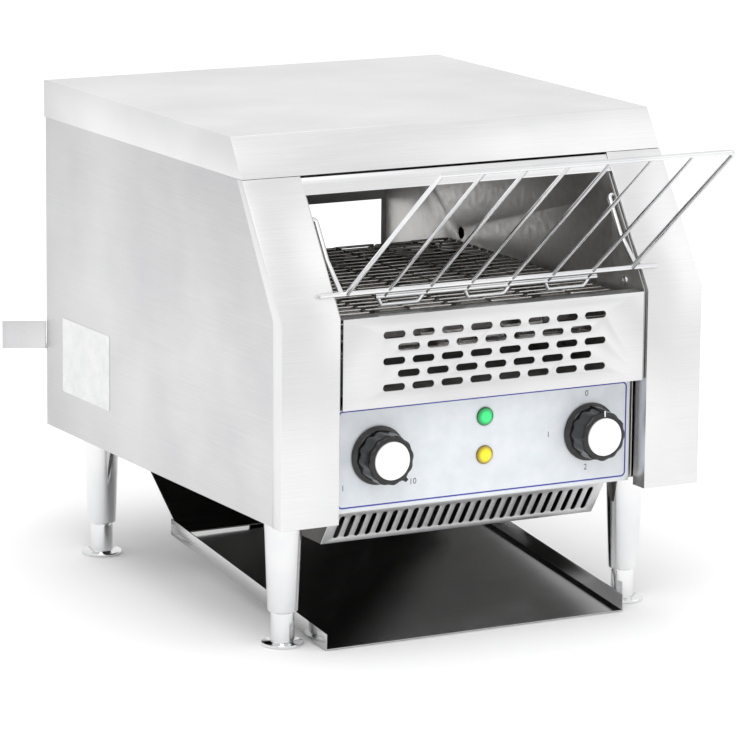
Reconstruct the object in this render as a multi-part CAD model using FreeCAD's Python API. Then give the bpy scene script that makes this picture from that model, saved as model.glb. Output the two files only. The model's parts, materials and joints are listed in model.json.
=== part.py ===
import FreeCAD, Part
import math
import os

os.makedirs("parts", exist_ok=True)

# Conveyor toaster. Millimetres, +Z up, the front faces -Y and X is centred.
# Lengths along Y are first given from the front face of the body, towards the rear.

# Body
BODY_WIDTH = 368.0
BODY_DEPTH = 420.0
BODY_HEIGHT = 286.0
LEG_HEIGHT = 104.0
SHEET = 1.0
SLANT_START = 157.0
SLANT_RUN = 85.8
LID_SKIRT = 30.0
COLUMN_WIDTH = 49.0
COLUMN_SIDE_FLANGE = 15.0
COLUMN_SLANT_FLANGE = 9.0
BOTTOM_FLANGE = 13.0
SEAM = 0.3
CROSSBAR_HEIGHT = 12.0
CROSSBAR_GAP = 1.8
CROSSBAR_RECESS = 1.2
CROSSBAR_LIP = 10.0

# Slotted vent panel over the control fascia
VENT_GAP = 3.2
VENT_BOTTOM = 86.7
VENT_HEIGHT = 69.8
VENT_RECESS = 1.2
VENT_RETURN = 14.0
SLOT_LENGTH = 18.8
SLOT_HEIGHT = 5.4
SLOT_END = 0.65
SLOT_PITCH = 25.2
SLOT_ROW_PITCH = 10.1
SLOT_ROWS = 5
SLOTS_LONG_ROW = 8

# Control fascia
FASCIA_RECESS = 17.0
FASCIA_BOTTOM = 4.0
FASCIA_GAP = 4.0
FASCIA_WING = 12.0
OVERLAY_THICKNESS = 0.4
OVERLAY_CORNER = 4.0
OVERLAY_MARGIN = 1.0
KNOB_COLUMN_GAP = 41.5
KNOB_HEIGHT = 46.8
LAMP_HEIGHTS = (67.7, 37.6)
LAMP_RADIUS = 7.4
LAMP_LENS_RADIUS = 5.6
LAMP_PROUD = 3.0
LAMP_RIM = 1.5
LAMP_BODY = 9.0
LAMP_BODY_LENGTH = 18.0
LAMP_CLIP = 12.0
LAMP_CLIP_THICKNESS = 3.0

# Knobs
KNOB_SKIRT_RADIUS = 23.0
KNOB_SKIRT_THICKNESS = 3.0
KNOB_GRIP_RADIUS = 20.0
KNOB_LENGTH = 23.0
KNOB_CAP_RADIUS = 14.8
KNOB_CAP_PROUD = 1.0
KNOB_CAP_SEAT = 2.0
KNOB_GAP = 0.8
KNOB_FLUTES = 12
FLUTE_DEPTH = 1.2
FLUTE_OUTLINE = ((0.0, 0.0), (0.3, 0.0), (0.5, 1.0), (0.8, 1.0))
POINTER_WIDTH = 3.0
POINTER_REACH = 21.5
SPEED_POINTER_ANGLE = 142.0
KNOB_SHAFT_RADIUS = 3.0
KNOB_SHAFT_SOCKET = 12.0
SHAFT_CLEARANCE = 0.05
PANEL_HOLE_CLEARANCE = 0.3
SWITCH_WIDTH = 44.0
SWITCH_DEPTH = 26.0
SWITCH_WALL = 4.0
SWITCH_NECK = 10.0

# Intake grille and control box under the fascia
BOX_SIDE_GAP = 12.2
BOX_DROP = 28.4
GRILLE_BOTTOM_Y = 54.8
GRILLE_SLOPE = 0.68
GRILLE_SLOTS = 25
GRILLE_SLOT_WIDTH = 4.4
GRILLE_SLOT_PITCH = 9.2
GRILLE_SLOT_TOP = -4.0
GRILLE_SLOT_BOTTOM = -24.0
GRILLE_CUT_MARGIN = 12.0
BOX_REAR = 160.0
BASE_RIM = 3.0

# Inner walls and chamber
SIDE_ROOM = 51.0
WALL_TOP_GAP = 36.0
WALL_FRONT_GAP = 3.0
WALL_SLOT = 15.0
WALL_HOLE_Y = 287.5
WALL_HOLE_HEIGHT = 156.8
WALL_HOLE_RADIUS = 5.0
REFLECTOR_TOP_GAP = 40.0
REFLECTOR_FRONT = 92.0
REFLECTOR_REAR = 300.0
REFLECTOR_LIP = 8.0
SHIELD_HEIGHT = 93.0
SHIELD_FRONT = 22.0
SHIELD_REAR = 285.0
SHIELD_LIP = 5.0
WINDOW_SIDE_GAP = 4.0
WINDOW_BOTTOM = 125.0
WINDOW_TOP = 165.8
REAR_INSET = 2.0
DROP_FRONT = 306.0

# Heaters
HEATER_RADIUS = 4.5
HEATER_END_GAP = 7.0
UPPER_HEATERS = 3
LOWER_HEATERS = 2
UPPER_HEATER_DROP = 8.0
UPPER_HEATER_FIRST = 130.0
UPPER_HEATER_PITCH = 60.0
LOWER_HEATER_FIRST = 120.0
LOWER_HEATER_PITCH = 92.0
CAP_SIZE = 13.0
LOWER_REFLECTOR_DROP = 9.5
LOWER_REFLECTOR_GAP = 8.0
LOWER_REFLECTOR_LIP = 4.0

# Wire belt and its shafts
BELT_SIDE_GAP = 8.0
BELT_PITCH = 12.7
BELT_WIRE = 2.0
BELT_LINK_GAP = 0.5
BELT_TEETH = 8
BELT_RUN_LINKS = 20
BELT_SPACES = 7
NOTCH_HALF_WIDTH = 1.75
NOTCH_DEPTH = 1.75
SPROCKET_CLEARANCE = 0.3
BELT_TOP = 152.0
IDLER_Y = 39.0
BELT_SHAFT_RADIUS = 5.5
SPROCKET_THICKNESS = 4.0
JOURNAL_RADIUS = 4.0
JOURNAL_GAP = 1.0
JOURNAL_PROUD = 1.5
BUSH_SIZE = 24.0
BUSH_THICKNESS = 7.0
RUNNING_CLEARANCE = 0.05
RAIL_WIDTH = 4.0
RAIL_HEIGHT = 7.0
RAIL_END_GAP = 20.0
CROSS_BAR = 5.0
CROSS_BAR_INSET = 12.0
RAIL_CLEARANCE = 0.3

# Chain drive
CHAIN_PITCH = 12.7
CHAIN_ROLLER_RADIUS = 3.9
ROLLER_SIDES = 8
CHAIN_PLATE = 0.8
CHAIN_PLATE_HALF_HEIGHT = 4.6
DRIVE_TEETH = 12
MOTOR_TEETH = 8
CHAIN_SPROCKET_THICKNESS = 3.0
CHAIN_PLANE_GAP = 12.0
CHAIN_SIDE_GAP = 0.6
CHAIN_SEAT_CLEARANCE = 0.2
CHAIN_TOOTH_HEIGHT = 2.4
CHAIN_SEAT_SHARE = 0.24
CHAIN_TIP_SHARE = 0.05
MOTOR_BACK = 60.0
MOTOR_DROP = 90.0
MOTOR_RADIUS = 30.0
MOTOR_LENGTH = 24.0
MOTOR_SHAFT_RADIUS = 4.0
MOTOR_JOURNAL_RADIUS = 3.2
GEARBOX_LENGTH = 6.0
BRACKET_THICKNESS = 1.5
BRACKET_HALF_WIDTH = 36.0
BRACKET_MARGIN = 4.0
BRACKET_GAP = 1.0
BRACKET_FOOT = 16.0
BRACKET_HOLE = 3.0

# Cooling fan
FAN_SIZE = 80.0
FAN_DEPTH = 25.0
FAN_Y = 105.0
FAN_BORE_RADIUS = 37.5
FAN_HUB_RADIUS = 16.0
FAN_BLADES = 5
FAN_BLADE_RADIUS = 36.0
FAN_BLADE_THICKNESS = 1.6
FAN_BLADE_PITCH = 35.0
FAN_BLADE_ROOT = 3.0
FAN_BLADE_WIDTH = 14.0
FAN_HUB_GAP = 0.5
FAN_STRUT = 4.0
FAN_STAND_GAP = 1.0

# Feed rack
RACK_ROD_RADIUS = 2.0
RACK_WIRE_RADIUS = 1.6
RACK_ROD_OVERHANG = 12.5
RACK_WIRES = 8
WIRE_SIDES = 8
RACK_ROD_HEIGHT = 174.6
RACK_TOP_HEIGHT = 285.0
RACK_REACH = 140.5
RACK_STOP_ROD_DROP = 9.0
RACK_STOP_ROD_INSET = 28.0
RACK_HOOK_GAP = 3.7
RACK_KNEE_RUN = 19.0
RACK_KNEE_DROP = 28.3
RACK_PIN_DEPTH = 4.0
RACK_PIN_DROP = 25.5
RACK_PIN_PROUD = 0.7

# Toast path
TRAY_SIDE_GAP = 0.3
TRAY_FRONT = 23.3
TRAY_REAR = 290.0
TRAY_FRONT_HEIGHT = 0.5
TRAY_RISE = 32.5
TRAY_FLANGE = 13.2
CHUTE_SIDE_GAP = 5.0
CHUTE_FRONT = 283.0
CHUTE_FRONT_HEIGHT = 34.5
CHUTE_REAR_GAP = 4.0
CHUTE_ANGLE = 36.5
CHUTE_LIP = 12.0
CHUTE_EAR = 44.0
HANGER_HALF_WIDTH = 60.0
HANGER_LEDGE = 14.0
SHELF_LENGTH = 86.0
SHELF_HEIGHT = 63.5
SHELF_FLANGE = 23.2
SHELF_DROP = 15.6
SHELF_FIX_FLANGE = 16.0
SHELF_FIX_INSET = 12.0

# Legs
LEG_INSET = 31.5
LEG_FRONT_Y = 57.0
LEG_REAR_Y = 379.0
LEG_TOP_RADIUS = 15.0
LEG_BOTTOM_RADIUS = 11.7
LEG_SIDES = 24
LEG_CONE_END = 27.0
FOOT_STEM_RADIUS = 9.3
FOOT_DISC_RADIUS = 16.7
FOOT_DISC_THICKNESS = 3.0
FOOT_SCREW_RADIUS = 5.0
FOOT_SCREW_LENGTH = 34.0
FOOT_SCREW_ROOM = 1.0
FOOT_CLEARANCE = 0.1
FOOT_STOP_GAP = 0.3

# Electrics in the control space
TERMINAL_SIZE = (46.0, 18.0, 16.0)
TERMINAL_X = 60.0
TERMINAL_GAP = 6.0
TERMINAL_WELL = 4.0
TERMINAL_WELL_DEPTH = 6.0
TERMINAL_WAYS = 4
THERMOSTAT_RADIUS = 8.0
THERMOSTAT_LENGTH = 14.0
THERMOSTAT_HEIGHT = 198.0
THERMOSTAT_FLANGE = 28.0
GLAND_RADIUS = 10.0
GLAND_LENGTH = 16.0
GLAND_NECK_RADIUS = 8.0
GLAND_BORE_RADIUS = 4.0
GLAND_NUT = 4.0
GLAND_PROUD = 1.8
GLAND_INSET = 26.0
GLAND_HEIGHT = 30.0
SCREW_RADIUS = 3.5
SCREW_HEAD = 1.6
SCREW_INSET = 8.0
SCREW_MARGIN = 14.0

# Values worked out from the ones above
HALF = BODY_WIDTH / 2.0
COLUMN_X = HALF - COLUMN_WIDTH
WALL_HALF_GAP = HALF - SIDE_ROOM
WALL_TOP = BODY_HEIGHT - WALL_TOP_GAP
PANEL_FACE = HALF - SHEET
BOX_HALF_WIDTH = WALL_HALF_GAP - BOX_SIDE_GAP
WINDOW_HALF_WIDTH = WALL_HALF_GAP - WINDOW_SIDE_GAP
HEATER_HALF_LENGTH = WALL_HALF_GAP - HEATER_END_GAP
BELT_HALF_WIDTH = WALL_HALF_GAP - BELT_SIDE_GAP
BELT_SPACE = 2.0 * BELT_HALF_WIDTH / BELT_SPACES
TRAY_HALF_WIDTH = WALL_HALF_GAP - TRAY_SIDE_GAP
CHUTE_HALF_WIDTH = WALL_HALF_GAP - CHUTE_SIDE_GAP
KNOB_OFFSET = COLUMN_X - KNOB_COLUMN_GAP
LEG_X = HALF - LEG_INSET
GLAND_X = HALF - GLAND_INSET
REFLECTOR_HEIGHT = BODY_HEIGHT - REFLECTOR_TOP_GAP
UPPER_HEATER_HEIGHT = REFLECTOR_HEIGHT - UPPER_HEATER_DROP
SLANT_GRADIENT = SLANT_RUN / (BODY_HEIGHT - SLANT_START)
SLANT_STRETCH = math.hypot(1.0, SLANT_GRADIENT)
SLANT_SHEET = SHEET * SLANT_STRETCH
GRILLE_SHEET = SHEET * math.hypot(1.0, GRILLE_SLOPE)
RACK_ROD_Y = (RACK_ROD_HEIGHT - SLANT_START) * SLANT_GRADIENT - (RACK_ROD_RADIUS + SEAM) * SLANT_STRETCH
RACK_FRONT_Y = RACK_ROD_Y - RACK_REACH - RACK_ROD_RADIUS
RACK_HALF_WIDTH = COLUMN_X + RACK_ROD_OVERHANG
RACK_WIRE_HALF_SPAN = BELT_HALF_WIDTH
RACK_STOP_ROD_HALF = RACK_WIRE_HALF_SPAN - RACK_STOP_ROD_INSET
RACK_HOOK_X = WALL_HALF_GAP - RACK_HOOK_GAP
RACK_PIN_END = WALL_HALF_GAP + SHEET + RACK_PIN_PROUD
RACK_PIN_HEIGHT = WALL_TOP - RACK_PIN_DROP
RACK_PIN_Y = (RACK_PIN_HEIGHT - SLANT_START) * SLANT_GRADIENT + WALL_FRONT_GAP + RACK_PIN_DEPTH
RACK_KNEE_Y = RACK_PIN_Y - RACK_KNEE_RUN
RACK_KNEE_HEIGHT = RACK_PIN_HEIGHT - RACK_KNEE_DROP
SHELF_END_Y = BODY_DEPTH + SHELF_LENGTH
REAR_FACE = BODY_DEPTH - REAR_INSET
Y0 = -(RACK_FRONT_Y + SHELF_END_Y) / 2.0
Z0 = LEG_HEIGHT
BELT_RADIUS = BELT_PITCH / (2.0 * math.sin(math.pi / BELT_TEETH))
SHAFT_HEIGHT = BELT_TOP - BELT_RADIUS
DRIVE_Y = IDLER_Y + BELT_RUN_LINKS * BELT_PITCH
MOTOR_Y = DRIVE_Y - MOTOR_BACK
MOTOR_HEIGHT = SHAFT_HEIGHT - MOTOR_DROP
CHAIN_X = WALL_HALF_GAP + SHEET + CHAIN_PLANE_GAP


def save(name, shape):
    shape.exportStep("parts/" + name + ".step")


def point(x, y, z):
    return FreeCAD.Vector(x, y + Y0, z + Z0)


def box(x0, x1, y0, y1, z0, z1):
    return Part.makeBox(x1 - x0, y1 - y0, z1 - z0, point(x0, y0, z0))


def side_profile(points, x0, x1):
    # A closed outline of (y, z) points, pulled along X.
    corners = [point(x0, y, z) for y, z in points]
    face = Part.Face(Part.makePolygon(corners + corners[:1]))
    return face.extrude(FreeCAD.Vector(x1 - x0, 0, 0))


def front_profile(points, y0, y1):
    # A closed outline of (x, z) points, pulled along Y.
    corners = [point(x, y0, z) for x, z in points]
    face = Part.Face(Part.makePolygon(corners + corners[:1]))
    return face.extrude(FreeCAD.Vector(0, y1 - y0, 0))


def rod(start, end, radius):
    a = point(*start)
    b = point(*end)
    return Part.makeCylinder(radius, (b - a).Length, a, b - a)


def prism_x(sides, radius, x0, x1, y, z):
    # A bar of regular section along X, the section's radius measured to its corners.
    turns = [2 * math.pi * (corner + 0.5) / sides for corner in range(sides)]
    return side_profile([(y + radius * math.cos(turn), z + radius * math.sin(turn)) for turn in turns], x0, x1)


def wire(start, end, radius):
    # A straight wire or tube of eight-sided section.
    a = point(*start)
    b = point(*end)
    length = (b - a).Length
    corners = []
    for corner in range(WIRE_SIDES + 1):
        turn = 2 * math.pi * (corner + 0.5) / WIRE_SIDES
        corners.append(FreeCAD.Vector(radius * math.cos(turn), radius * math.sin(turn), 0))
    bar = Part.Face(Part.makePolygon(corners)).extrude(FreeCAD.Vector(0, 0, length))
    bar.Placement = FreeCAD.Placement(a, FreeCAD.Rotation(FreeCAD.Vector(0, 0, 1), b - a))
    return bar


def hexagon_z(radius, x, y, z0, z1):
    corners = [point(x + radius * math.cos(turn), y + radius * math.sin(turn), z0)
               for turn in [math.pi / 3.0 * corner for corner in range(7)]]
    return Part.Face(Part.makePolygon(corners)).extrude(FreeCAD.Vector(0, 0, z1 - z0))


def hexagon_y(radius, y0, y1, x, z):
    turns = [math.pi / 3.0 * corner for corner in range(6)]
    return front_profile([(x + radius * math.cos(turn), z + radius * math.sin(turn)) for turn in turns], y0, y1)


def join(shapes):
    return shapes[0].multiFuse(shapes[1:]).removeSplitter()


def group(shapes):
    return Part.makeCompound(shapes)


def mirrored(shape):
    return shape.mirror(FreeCAD.Vector(0, 0, 0), FreeCAD.Vector(1, 0, 0))


def slant_y(z):
    # The front face of the body at height z over its lower edge.
    return max(0.0, (z - SLANT_START) * SLANT_GRADIENT)


def front_strip(z_low, z_high, depth_low, depth_high):
    # The outline between the body's front face and a line behind it.
    points = [(slant_y(z_low), z_low)]
    if z_low < SLANT_START < z_high:
        points.append((0.0, SLANT_START))
    points.append((slant_y(z_high), z_high))
    points.append((slant_y(z_high) + depth_high, z_high))
    if z_low < SLANT_START < z_high:
        points.append((depth_low, SLANT_START))
    points.append((slant_y(z_low) + depth_low, z_low))
    return points


def slot_xz(x, z, length, height, y0, y1):
    # A slot with turned-in ends through a sheet that stands upright.
    half = length / 2.0
    high = height / 2.0
    turn = SLOT_END * high
    outline = []
    for side_x, side_z in ((1, 1), (-1, 1), (-1, -1), (1, -1)):
        near = (x + side_x * half, z + side_z * (high - turn))
        far = (x + side_x * (half - turn), z + side_z * high)
        outline += [near, far] if side_x * side_z > 0 else [far, near]
    return front_profile(outline, y0, y1)


def make_side_panels():
    top = BODY_HEIGHT - SHEET
    rear = BODY_DEPTH - SHEET
    inset = SLANT_SHEET + SEAM
    outline = [
        (inset, 0.0), (inset, SLANT_START), (slant_y(top) + inset, top), (rear, top), (rear, 0.0)]
    plate = side_profile(outline, PANEL_FACE - SHEET, PANEL_FACE)
    foot = box(PANEL_FACE - BOTTOM_FLANGE, PANEL_FACE, FASCIA_RECESS, REAR_FACE - SHEET, 0.0, SHEET)
    panel = join([plate, foot])
    save("side_panel_right", panel)
    save("side_panel_left", mirrored(panel))


def make_front_columns():
    top = BODY_HEIGHT - LID_SKIRT - SEAM
    face = side_profile(front_strip(0.0, top, SHEET, SLANT_SHEET), COLUMN_X, HALF)
    flange = front_strip(0.0, top, COLUMN_SIDE_FLANGE, COLUMN_SLANT_FLANGE)
    side = side_profile(flange, HALF - SHEET, HALF)
    inner = front_strip(0.0, top, FASCIA_RECESS, FASCIA_RECESS)
    back = side_profile(inner, COLUMN_X, COLUMN_X + SHEET)
    column = join([face, side, back])
    save("front_column_right", column)
    save("front_column_left", mirrored(column))


def make_lid():
    low = BODY_HEIGHT - LID_SKIRT
    front = side_profile(front_strip(low, BODY_HEIGHT, SLANT_SHEET, SLANT_SHEET), -HALF, HALF)
    sheet = box(-HALF, HALF, SLANT_RUN, BODY_DEPTH, BODY_HEIGHT - SHEET, BODY_HEIGHT)
    skirt = [(slant_y(low), low), (SLANT_RUN, BODY_HEIGHT), (BODY_DEPTH, BODY_HEIGHT), (BODY_DEPTH, low)]
    left = side_profile(skirt, -HALF, -HALF + SHEET)
    right = side_profile(skirt, HALF - SHEET, HALF)
    rear = box(-HALF, HALF, BODY_DEPTH - SHEET, BODY_DEPTH, low, BODY_HEIGHT)
    save("lid", join([sheet, front, left, right, rear]))


def make_crossbar():
    high = BODY_HEIGHT - LID_SKIRT - CROSSBAR_GAP
    low = high - CROSSBAR_HEIGHT
    half = COLUMN_X - SEAM
    strip = [
        (slant_y(low) + CROSSBAR_RECESS, low), (slant_y(high) + CROSSBAR_RECESS, high),
        (slant_y(high) + CROSSBAR_RECESS + SLANT_SHEET, high),
        (slant_y(low) + CROSSBAR_RECESS + SLANT_SHEET, low)]
    bar = side_profile(strip, -half, half)
    lip_y = slant_y(low) + CROSSBAR_RECESS
    lip = box(-WALL_HALF_GAP, WALL_HALF_GAP, lip_y + SLANT_SHEET / 2.0, lip_y + CROSSBAR_LIP, low, low + SHEET)
    roof_z = REFLECTOR_HEIGHT + SHEET
    roof = box(-WALL_HALF_GAP, WALL_HALF_GAP, slant_y(roof_z) + CROSSBAR_RECESS + SLANT_SHEET / 2.0,
               REFLECTOR_FRONT + REFLECTOR_LIP, roof_z, roof_z + SHEET)
    save("crossbar", join([bar, lip, roof]))


def make_vent_panel():
    half = COLUMN_X - VENT_GAP
    top = VENT_BOTTOM + VENT_HEIGHT
    y0 = VENT_RECESS
    plate = box(-half, half, y0, y0 + SHEET, VENT_BOTTOM, top)
    middle = VENT_BOTTOM + VENT_HEIGHT / 2.0
    top_row = middle + (SLOT_ROWS - 1) / 2.0 * SLOT_ROW_PITCH
    cuts = []
    for row in range(SLOT_ROWS):
        count = SLOTS_LONG_ROW - row % 2
        for column in range(count):
            x = (column - (count - 1) / 2.0) * SLOT_PITCH
            z = top_row - row * SLOT_ROW_PITCH
            cuts.append(slot_xz(x, z, SLOT_LENGTH, SLOT_HEIGHT, y0 - 1.0, y0 + SHEET + 1.0))
    plate = plate.cut(cuts)
    under = box(-half, half, y0, FASCIA_RECESS + SHEET, VENT_BOTTOM, VENT_BOTTOM + SHEET)
    over = box(-half, half, y0, y0 + VENT_RETURN, top - SHEET, top)
    save("vent_panel", join([plate, under, over]))


def make_fascia():
    half = COLUMN_X - FASCIA_GAP
    top = VENT_BOTTOM
    y0 = FASCIA_RECESS
    y1 = y0 + SHEET
    plate = box(-half, half, y0, y1, FASCIA_BOTTOM, top)
    places = [(side * KNOB_OFFSET, KNOB_HEIGHT, SWITCH_NECK) for side in (-1, 1)]
    places += [(0.0, z, LAMP_BODY) for z in LAMP_HEIGHTS]
    holes = []
    for x, z, width in places:
        reach = width / 2.0 + PANEL_HOLE_CLEARANCE
        holes.append(box(x - reach, x + reach, y0 - SHEET, y1 + SHEET, z - reach, z + reach))
    fold = box(-half, half, y0, grille_y(FASCIA_BOTTOM) + GRILLE_SHEET, FASCIA_BOTTOM, FASCIA_BOTTOM + SHEET)
    wing = box(half - SHEET, half, y0, y0 + FASCIA_WING, FASCIA_BOTTOM, top)
    tab = box(half - SHEET, WALL_HALF_GAP, y0 + FASCIA_WING - SHEET, y0 + FASCIA_WING, KNOB_HEIGHT, top)
    save("fascia", join([plate, fold, wing, tab, mirrored(wing), mirrored(tab)]).cut(holes))
    edge = half - OVERLAY_MARGIN
    skin = box(-edge, edge, y0 - OVERLAY_THICKNESS, y0, FASCIA_BOTTOM + OVERLAY_MARGIN, top - OVERLAY_MARGIN)
    corners = [e for e in skin.Edges if abs(e.Vertexes[0].Y - e.Vertexes[-1].Y) > OVERLAY_THICKNESS / 2.0]
    skin = skin.makeFillet(OVERLAY_CORNER, corners)
    save("fascia_overlay", skin.cut(holes))


def grille_y(z):
    # The front face of the slanted grille at height z over the body's lower edge.
    return GRILLE_BOTTOM_Y - GRILLE_SLOPE * (z + BOX_DROP)


def make_grille():
    # Slanted sheet with a row of upright slots, and the box that it closes.
    thick = GRILLE_SHEET
    top_y = grille_y(FASCIA_BOTTOM)
    strip = [(top_y, FASCIA_BOTTOM), (grille_y(-BOX_DROP), -BOX_DROP),
             (grille_y(-BOX_DROP) + thick, -BOX_DROP), (top_y + thick, FASCIA_BOTTOM)]
    plate = side_profile(strip, -BOX_HALF_WIDTH, BOX_HALF_WIDTH)
    cuts = []
    for index in range(GRILLE_SLOTS):
        x = (index - (GRILLE_SLOTS - 1) / 2.0) * GRILLE_SLOT_PITCH
        cuts.append(box(x - GRILLE_SLOT_WIDTH / 2.0, x + GRILLE_SLOT_WIDTH / 2.0,
                        grille_y(GRILLE_SLOT_TOP) - GRILLE_CUT_MARGIN,
                        grille_y(GRILLE_SLOT_BOTTOM) + GRILLE_CUT_MARGIN,
                        GRILLE_SLOT_BOTTOM, GRILLE_SLOT_TOP))
    save("intake_grille", plate.cut(cuts))
    inner = grille_y(-BOX_DROP) + thick
    floor = box(-BOX_HALF_WIDTH, BOX_HALF_WIDTH, inner, BOX_REAR, -BOX_DROP, -BOX_DROP + SHEET)
    cheek = [(inner, -BOX_DROP), (grille_y(SHEET) + thick, SHEET), (BOX_REAR, SHEET), (BOX_REAR, -BOX_DROP)]
    left = side_profile(cheek, -BOX_HALF_WIDTH, -BOX_HALF_WIDTH + SHEET)
    right = side_profile(cheek, BOX_HALF_WIDTH - SHEET, BOX_HALF_WIDTH)
    back = box(-BOX_HALF_WIDTH, BOX_HALF_WIDTH, BOX_REAR - SHEET, BOX_REAR, -BOX_DROP, SHEET)
    save("control_box", join([floor, left, right, back]))


def make_base():
    edge = PANEL_FACE - SHEET
    front = grille_y(SHEET) + GRILLE_SHEET
    z0 = SHEET
    z1 = z0 + SHEET
    plate = box(-edge, edge, front, REAR_FACE - SHEET, z0, z1)
    inside = BOX_HALF_WIDTH - BASE_RIM
    box_hole = box(-inside, inside, front - SHEET, BOX_REAR - BASE_RIM, z0 - SHEET, z1 + SHEET)
    drop = box(-WALL_HALF_GAP, WALL_HALF_GAP, DROP_FRONT, REAR_FACE - SHEET - BASE_RIM, z0 - SHEET, z1 + SHEET)
    save("base_plate", plate.cut([box_hole, drop]))


def wall_bore(y, z, radius):
    return rod((WALL_HALF_GAP - SHEET, y, z), (WALL_HALF_GAP + 2.0 * SHEET, y, z), radius)


def make_walls():
    z_low = 2.0 * SHEET
    front = FASCIA_RECESS + SHEET
    rear = REAR_FACE - SHEET
    outline = [
        (grille_y(0.0), z_low), (front, z_low + FASCIA_BOTTOM), (front, VENT_BOTTOM + SHEET),
        (WALL_FRONT_GAP, VENT_BOTTOM + SHEET), (WALL_FRONT_GAP, SLANT_START),
        (slant_y(WALL_TOP) + WALL_FRONT_GAP, WALL_TOP), (rear, WALL_TOP), (rear, z_low)]
    wall = side_profile(outline, WALL_HALF_GAP, WALL_HALF_GAP + SHEET)
    bores = []
    for y in (IDLER_Y, DRIVE_Y):
        bores.append(box(WALL_HALF_GAP - SHEET, WALL_HALF_GAP + 2.0 * SHEET, y - WALL_SLOT / 2.0,
                         y + WALL_SLOT / 2.0, SHAFT_HEIGHT - WALL_SLOT / 2.0, SHAFT_HEIGHT + WALL_SLOT / 2.0))
    bores.append(wall_bore(RACK_PIN_Y, RACK_PIN_HEIGHT, RACK_ROD_RADIUS + RUNNING_CLEARANCE))
    wall = wall.cut(bores)
    save("inner_wall_left", mirrored(wall))
    save("inner_wall_right", wall.cut(wall_bore(WALL_HOLE_Y, WALL_HOLE_HEIGHT, WALL_HOLE_RADIUS)))


def make_rear_panel():
    y1 = REAR_FACE
    edge = PANEL_FACE - SHEET
    plate = box(-edge, edge, y1 - SHEET, y1, 0.0, BODY_HEIGHT - SHEET)
    window = box(-WINDOW_HALF_WIDTH, WINDOW_HALF_WIDTH, y1 - 2.0 * SHEET, y1 + SHEET, WINDOW_BOTTOM, WINDOW_TOP)
    gland = hexagon_y(GLAND_NECK_RADIUS, y1 - 2.0 * SHEET, y1 + SHEET, GLAND_X, GLAND_HEIGHT)
    save("rear_panel", plate.cut([window, gland]))
    heads = []
    for side in (-1, 1):
        for z in (SCREW_MARGIN, BODY_HEIGHT / 2.0, BODY_HEIGHT - LID_SKIRT - SCREW_MARGIN):
            x = side * (edge - SCREW_INSET)
            heads.append(hexagon_y(SCREW_RADIUS, y1, y1 + SCREW_HEAD, x, z))
    save("panel_screws", group(heads))


def make_shields():
    half = WALL_HALF_GAP
    z = REFLECTOR_HEIGHT
    sheet = box(-half, half, REFLECTOR_FRONT, REFLECTOR_REAR, z, z + SHEET)
    lips = [box(-half, half, y, y + SHEET, z - REFLECTOR_LIP, z)
            for y in (REFLECTOR_FRONT, REFLECTOR_REAR - SHEET)]
    save("upper_reflector", join([sheet] + lips))
    z = SHAFT_HEIGHT - LOWER_REFLECTOR_DROP
    y0 = IDLER_Y + BELT_RADIUS + LOWER_REFLECTOR_GAP
    y1 = DRIVE_Y - BELT_RADIUS - LOWER_REFLECTOR_GAP
    tray = box(-half, half, y0, y1, z, z + SHEET)
    ends = [box(-half, half, y, y + SHEET, z, z + LOWER_REFLECTOR_LIP) for y in (y0, y1 - SHEET)]
    save("lower_reflector", join([tray] + ends))
    shield = box(-half, half, SHIELD_FRONT, SHIELD_REAR, SHIELD_HEIGHT, SHIELD_HEIGHT + SHEET)
    lip = box(-half, half, SHIELD_REAR - SHEET, SHIELD_REAR, SHIELD_HEIGHT - SHIELD_LIP, SHIELD_HEIGHT)
    save("heat_shield", join([shield, lip]))


def make_heaters():
    rows = [("upper_heaters", UPPER_HEATERS, UPPER_HEATER_HEIGHT, UPPER_HEATER_FIRST, UPPER_HEATER_PITCH),
            ("lower_heaters", LOWER_HEATERS, SHAFT_HEIGHT, LOWER_HEATER_FIRST, LOWER_HEATER_PITCH)]
    caps = []
    for name, count, z, first, pitch in rows:
        tubes = []
        for index in range(count):
            y = first + index * pitch
            tubes.append(wire((-HEATER_HALF_LENGTH, y, z), (HEATER_HALF_LENGTH, y, z), HEATER_RADIUS))
            end = box(HEATER_HALF_LENGTH, WALL_HALF_GAP, y - CAP_SIZE / 2.0, y + CAP_SIZE / 2.0,
                      z - CAP_SIZE / 2.0, z + CAP_SIZE / 2.0)
            caps += [end, mirrored(end)]
        save(name, group(tubes))
    save("heater_caps", group(caps))


def belt_strand():
    # One castellated wire, flat in a plane: it starts on X and steps forward by one link.
    step = BELT_PITCH - BELT_WIRE - BELT_LINK_GAP
    r = BELT_WIRE / 2.0
    lower_line = []
    upper_line = []
    for index in range(BELT_SPACES):
        level = step if index % 2 else 0.0
        x0 = -BELT_HALF_WIDTH + index * BELT_SPACE
        x1 = x0 + BELT_SPACE
        first = index == 0
        last = index == BELT_SPACES - 1
        inward = r if index % 2 else -r
        upper_line.append((x0 if first else x0 - inward, level + r))
        upper_line.append((x1 if last else x1 + inward, level + r))
        lower_line.append((x0 if first else x0 + inward, level - r))
        lower_line.append((x1 if last else x1 - inward, level - r))
    outline = upper_line + lower_line[::-1]
    corners = [FreeCAD.Vector(x, y, -r) for x, y in outline]
    face = Part.Face(Part.makePolygon(corners + corners[:1]))
    return face.extrude(FreeCAD.Vector(0, 0, BELT_WIRE))


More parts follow.
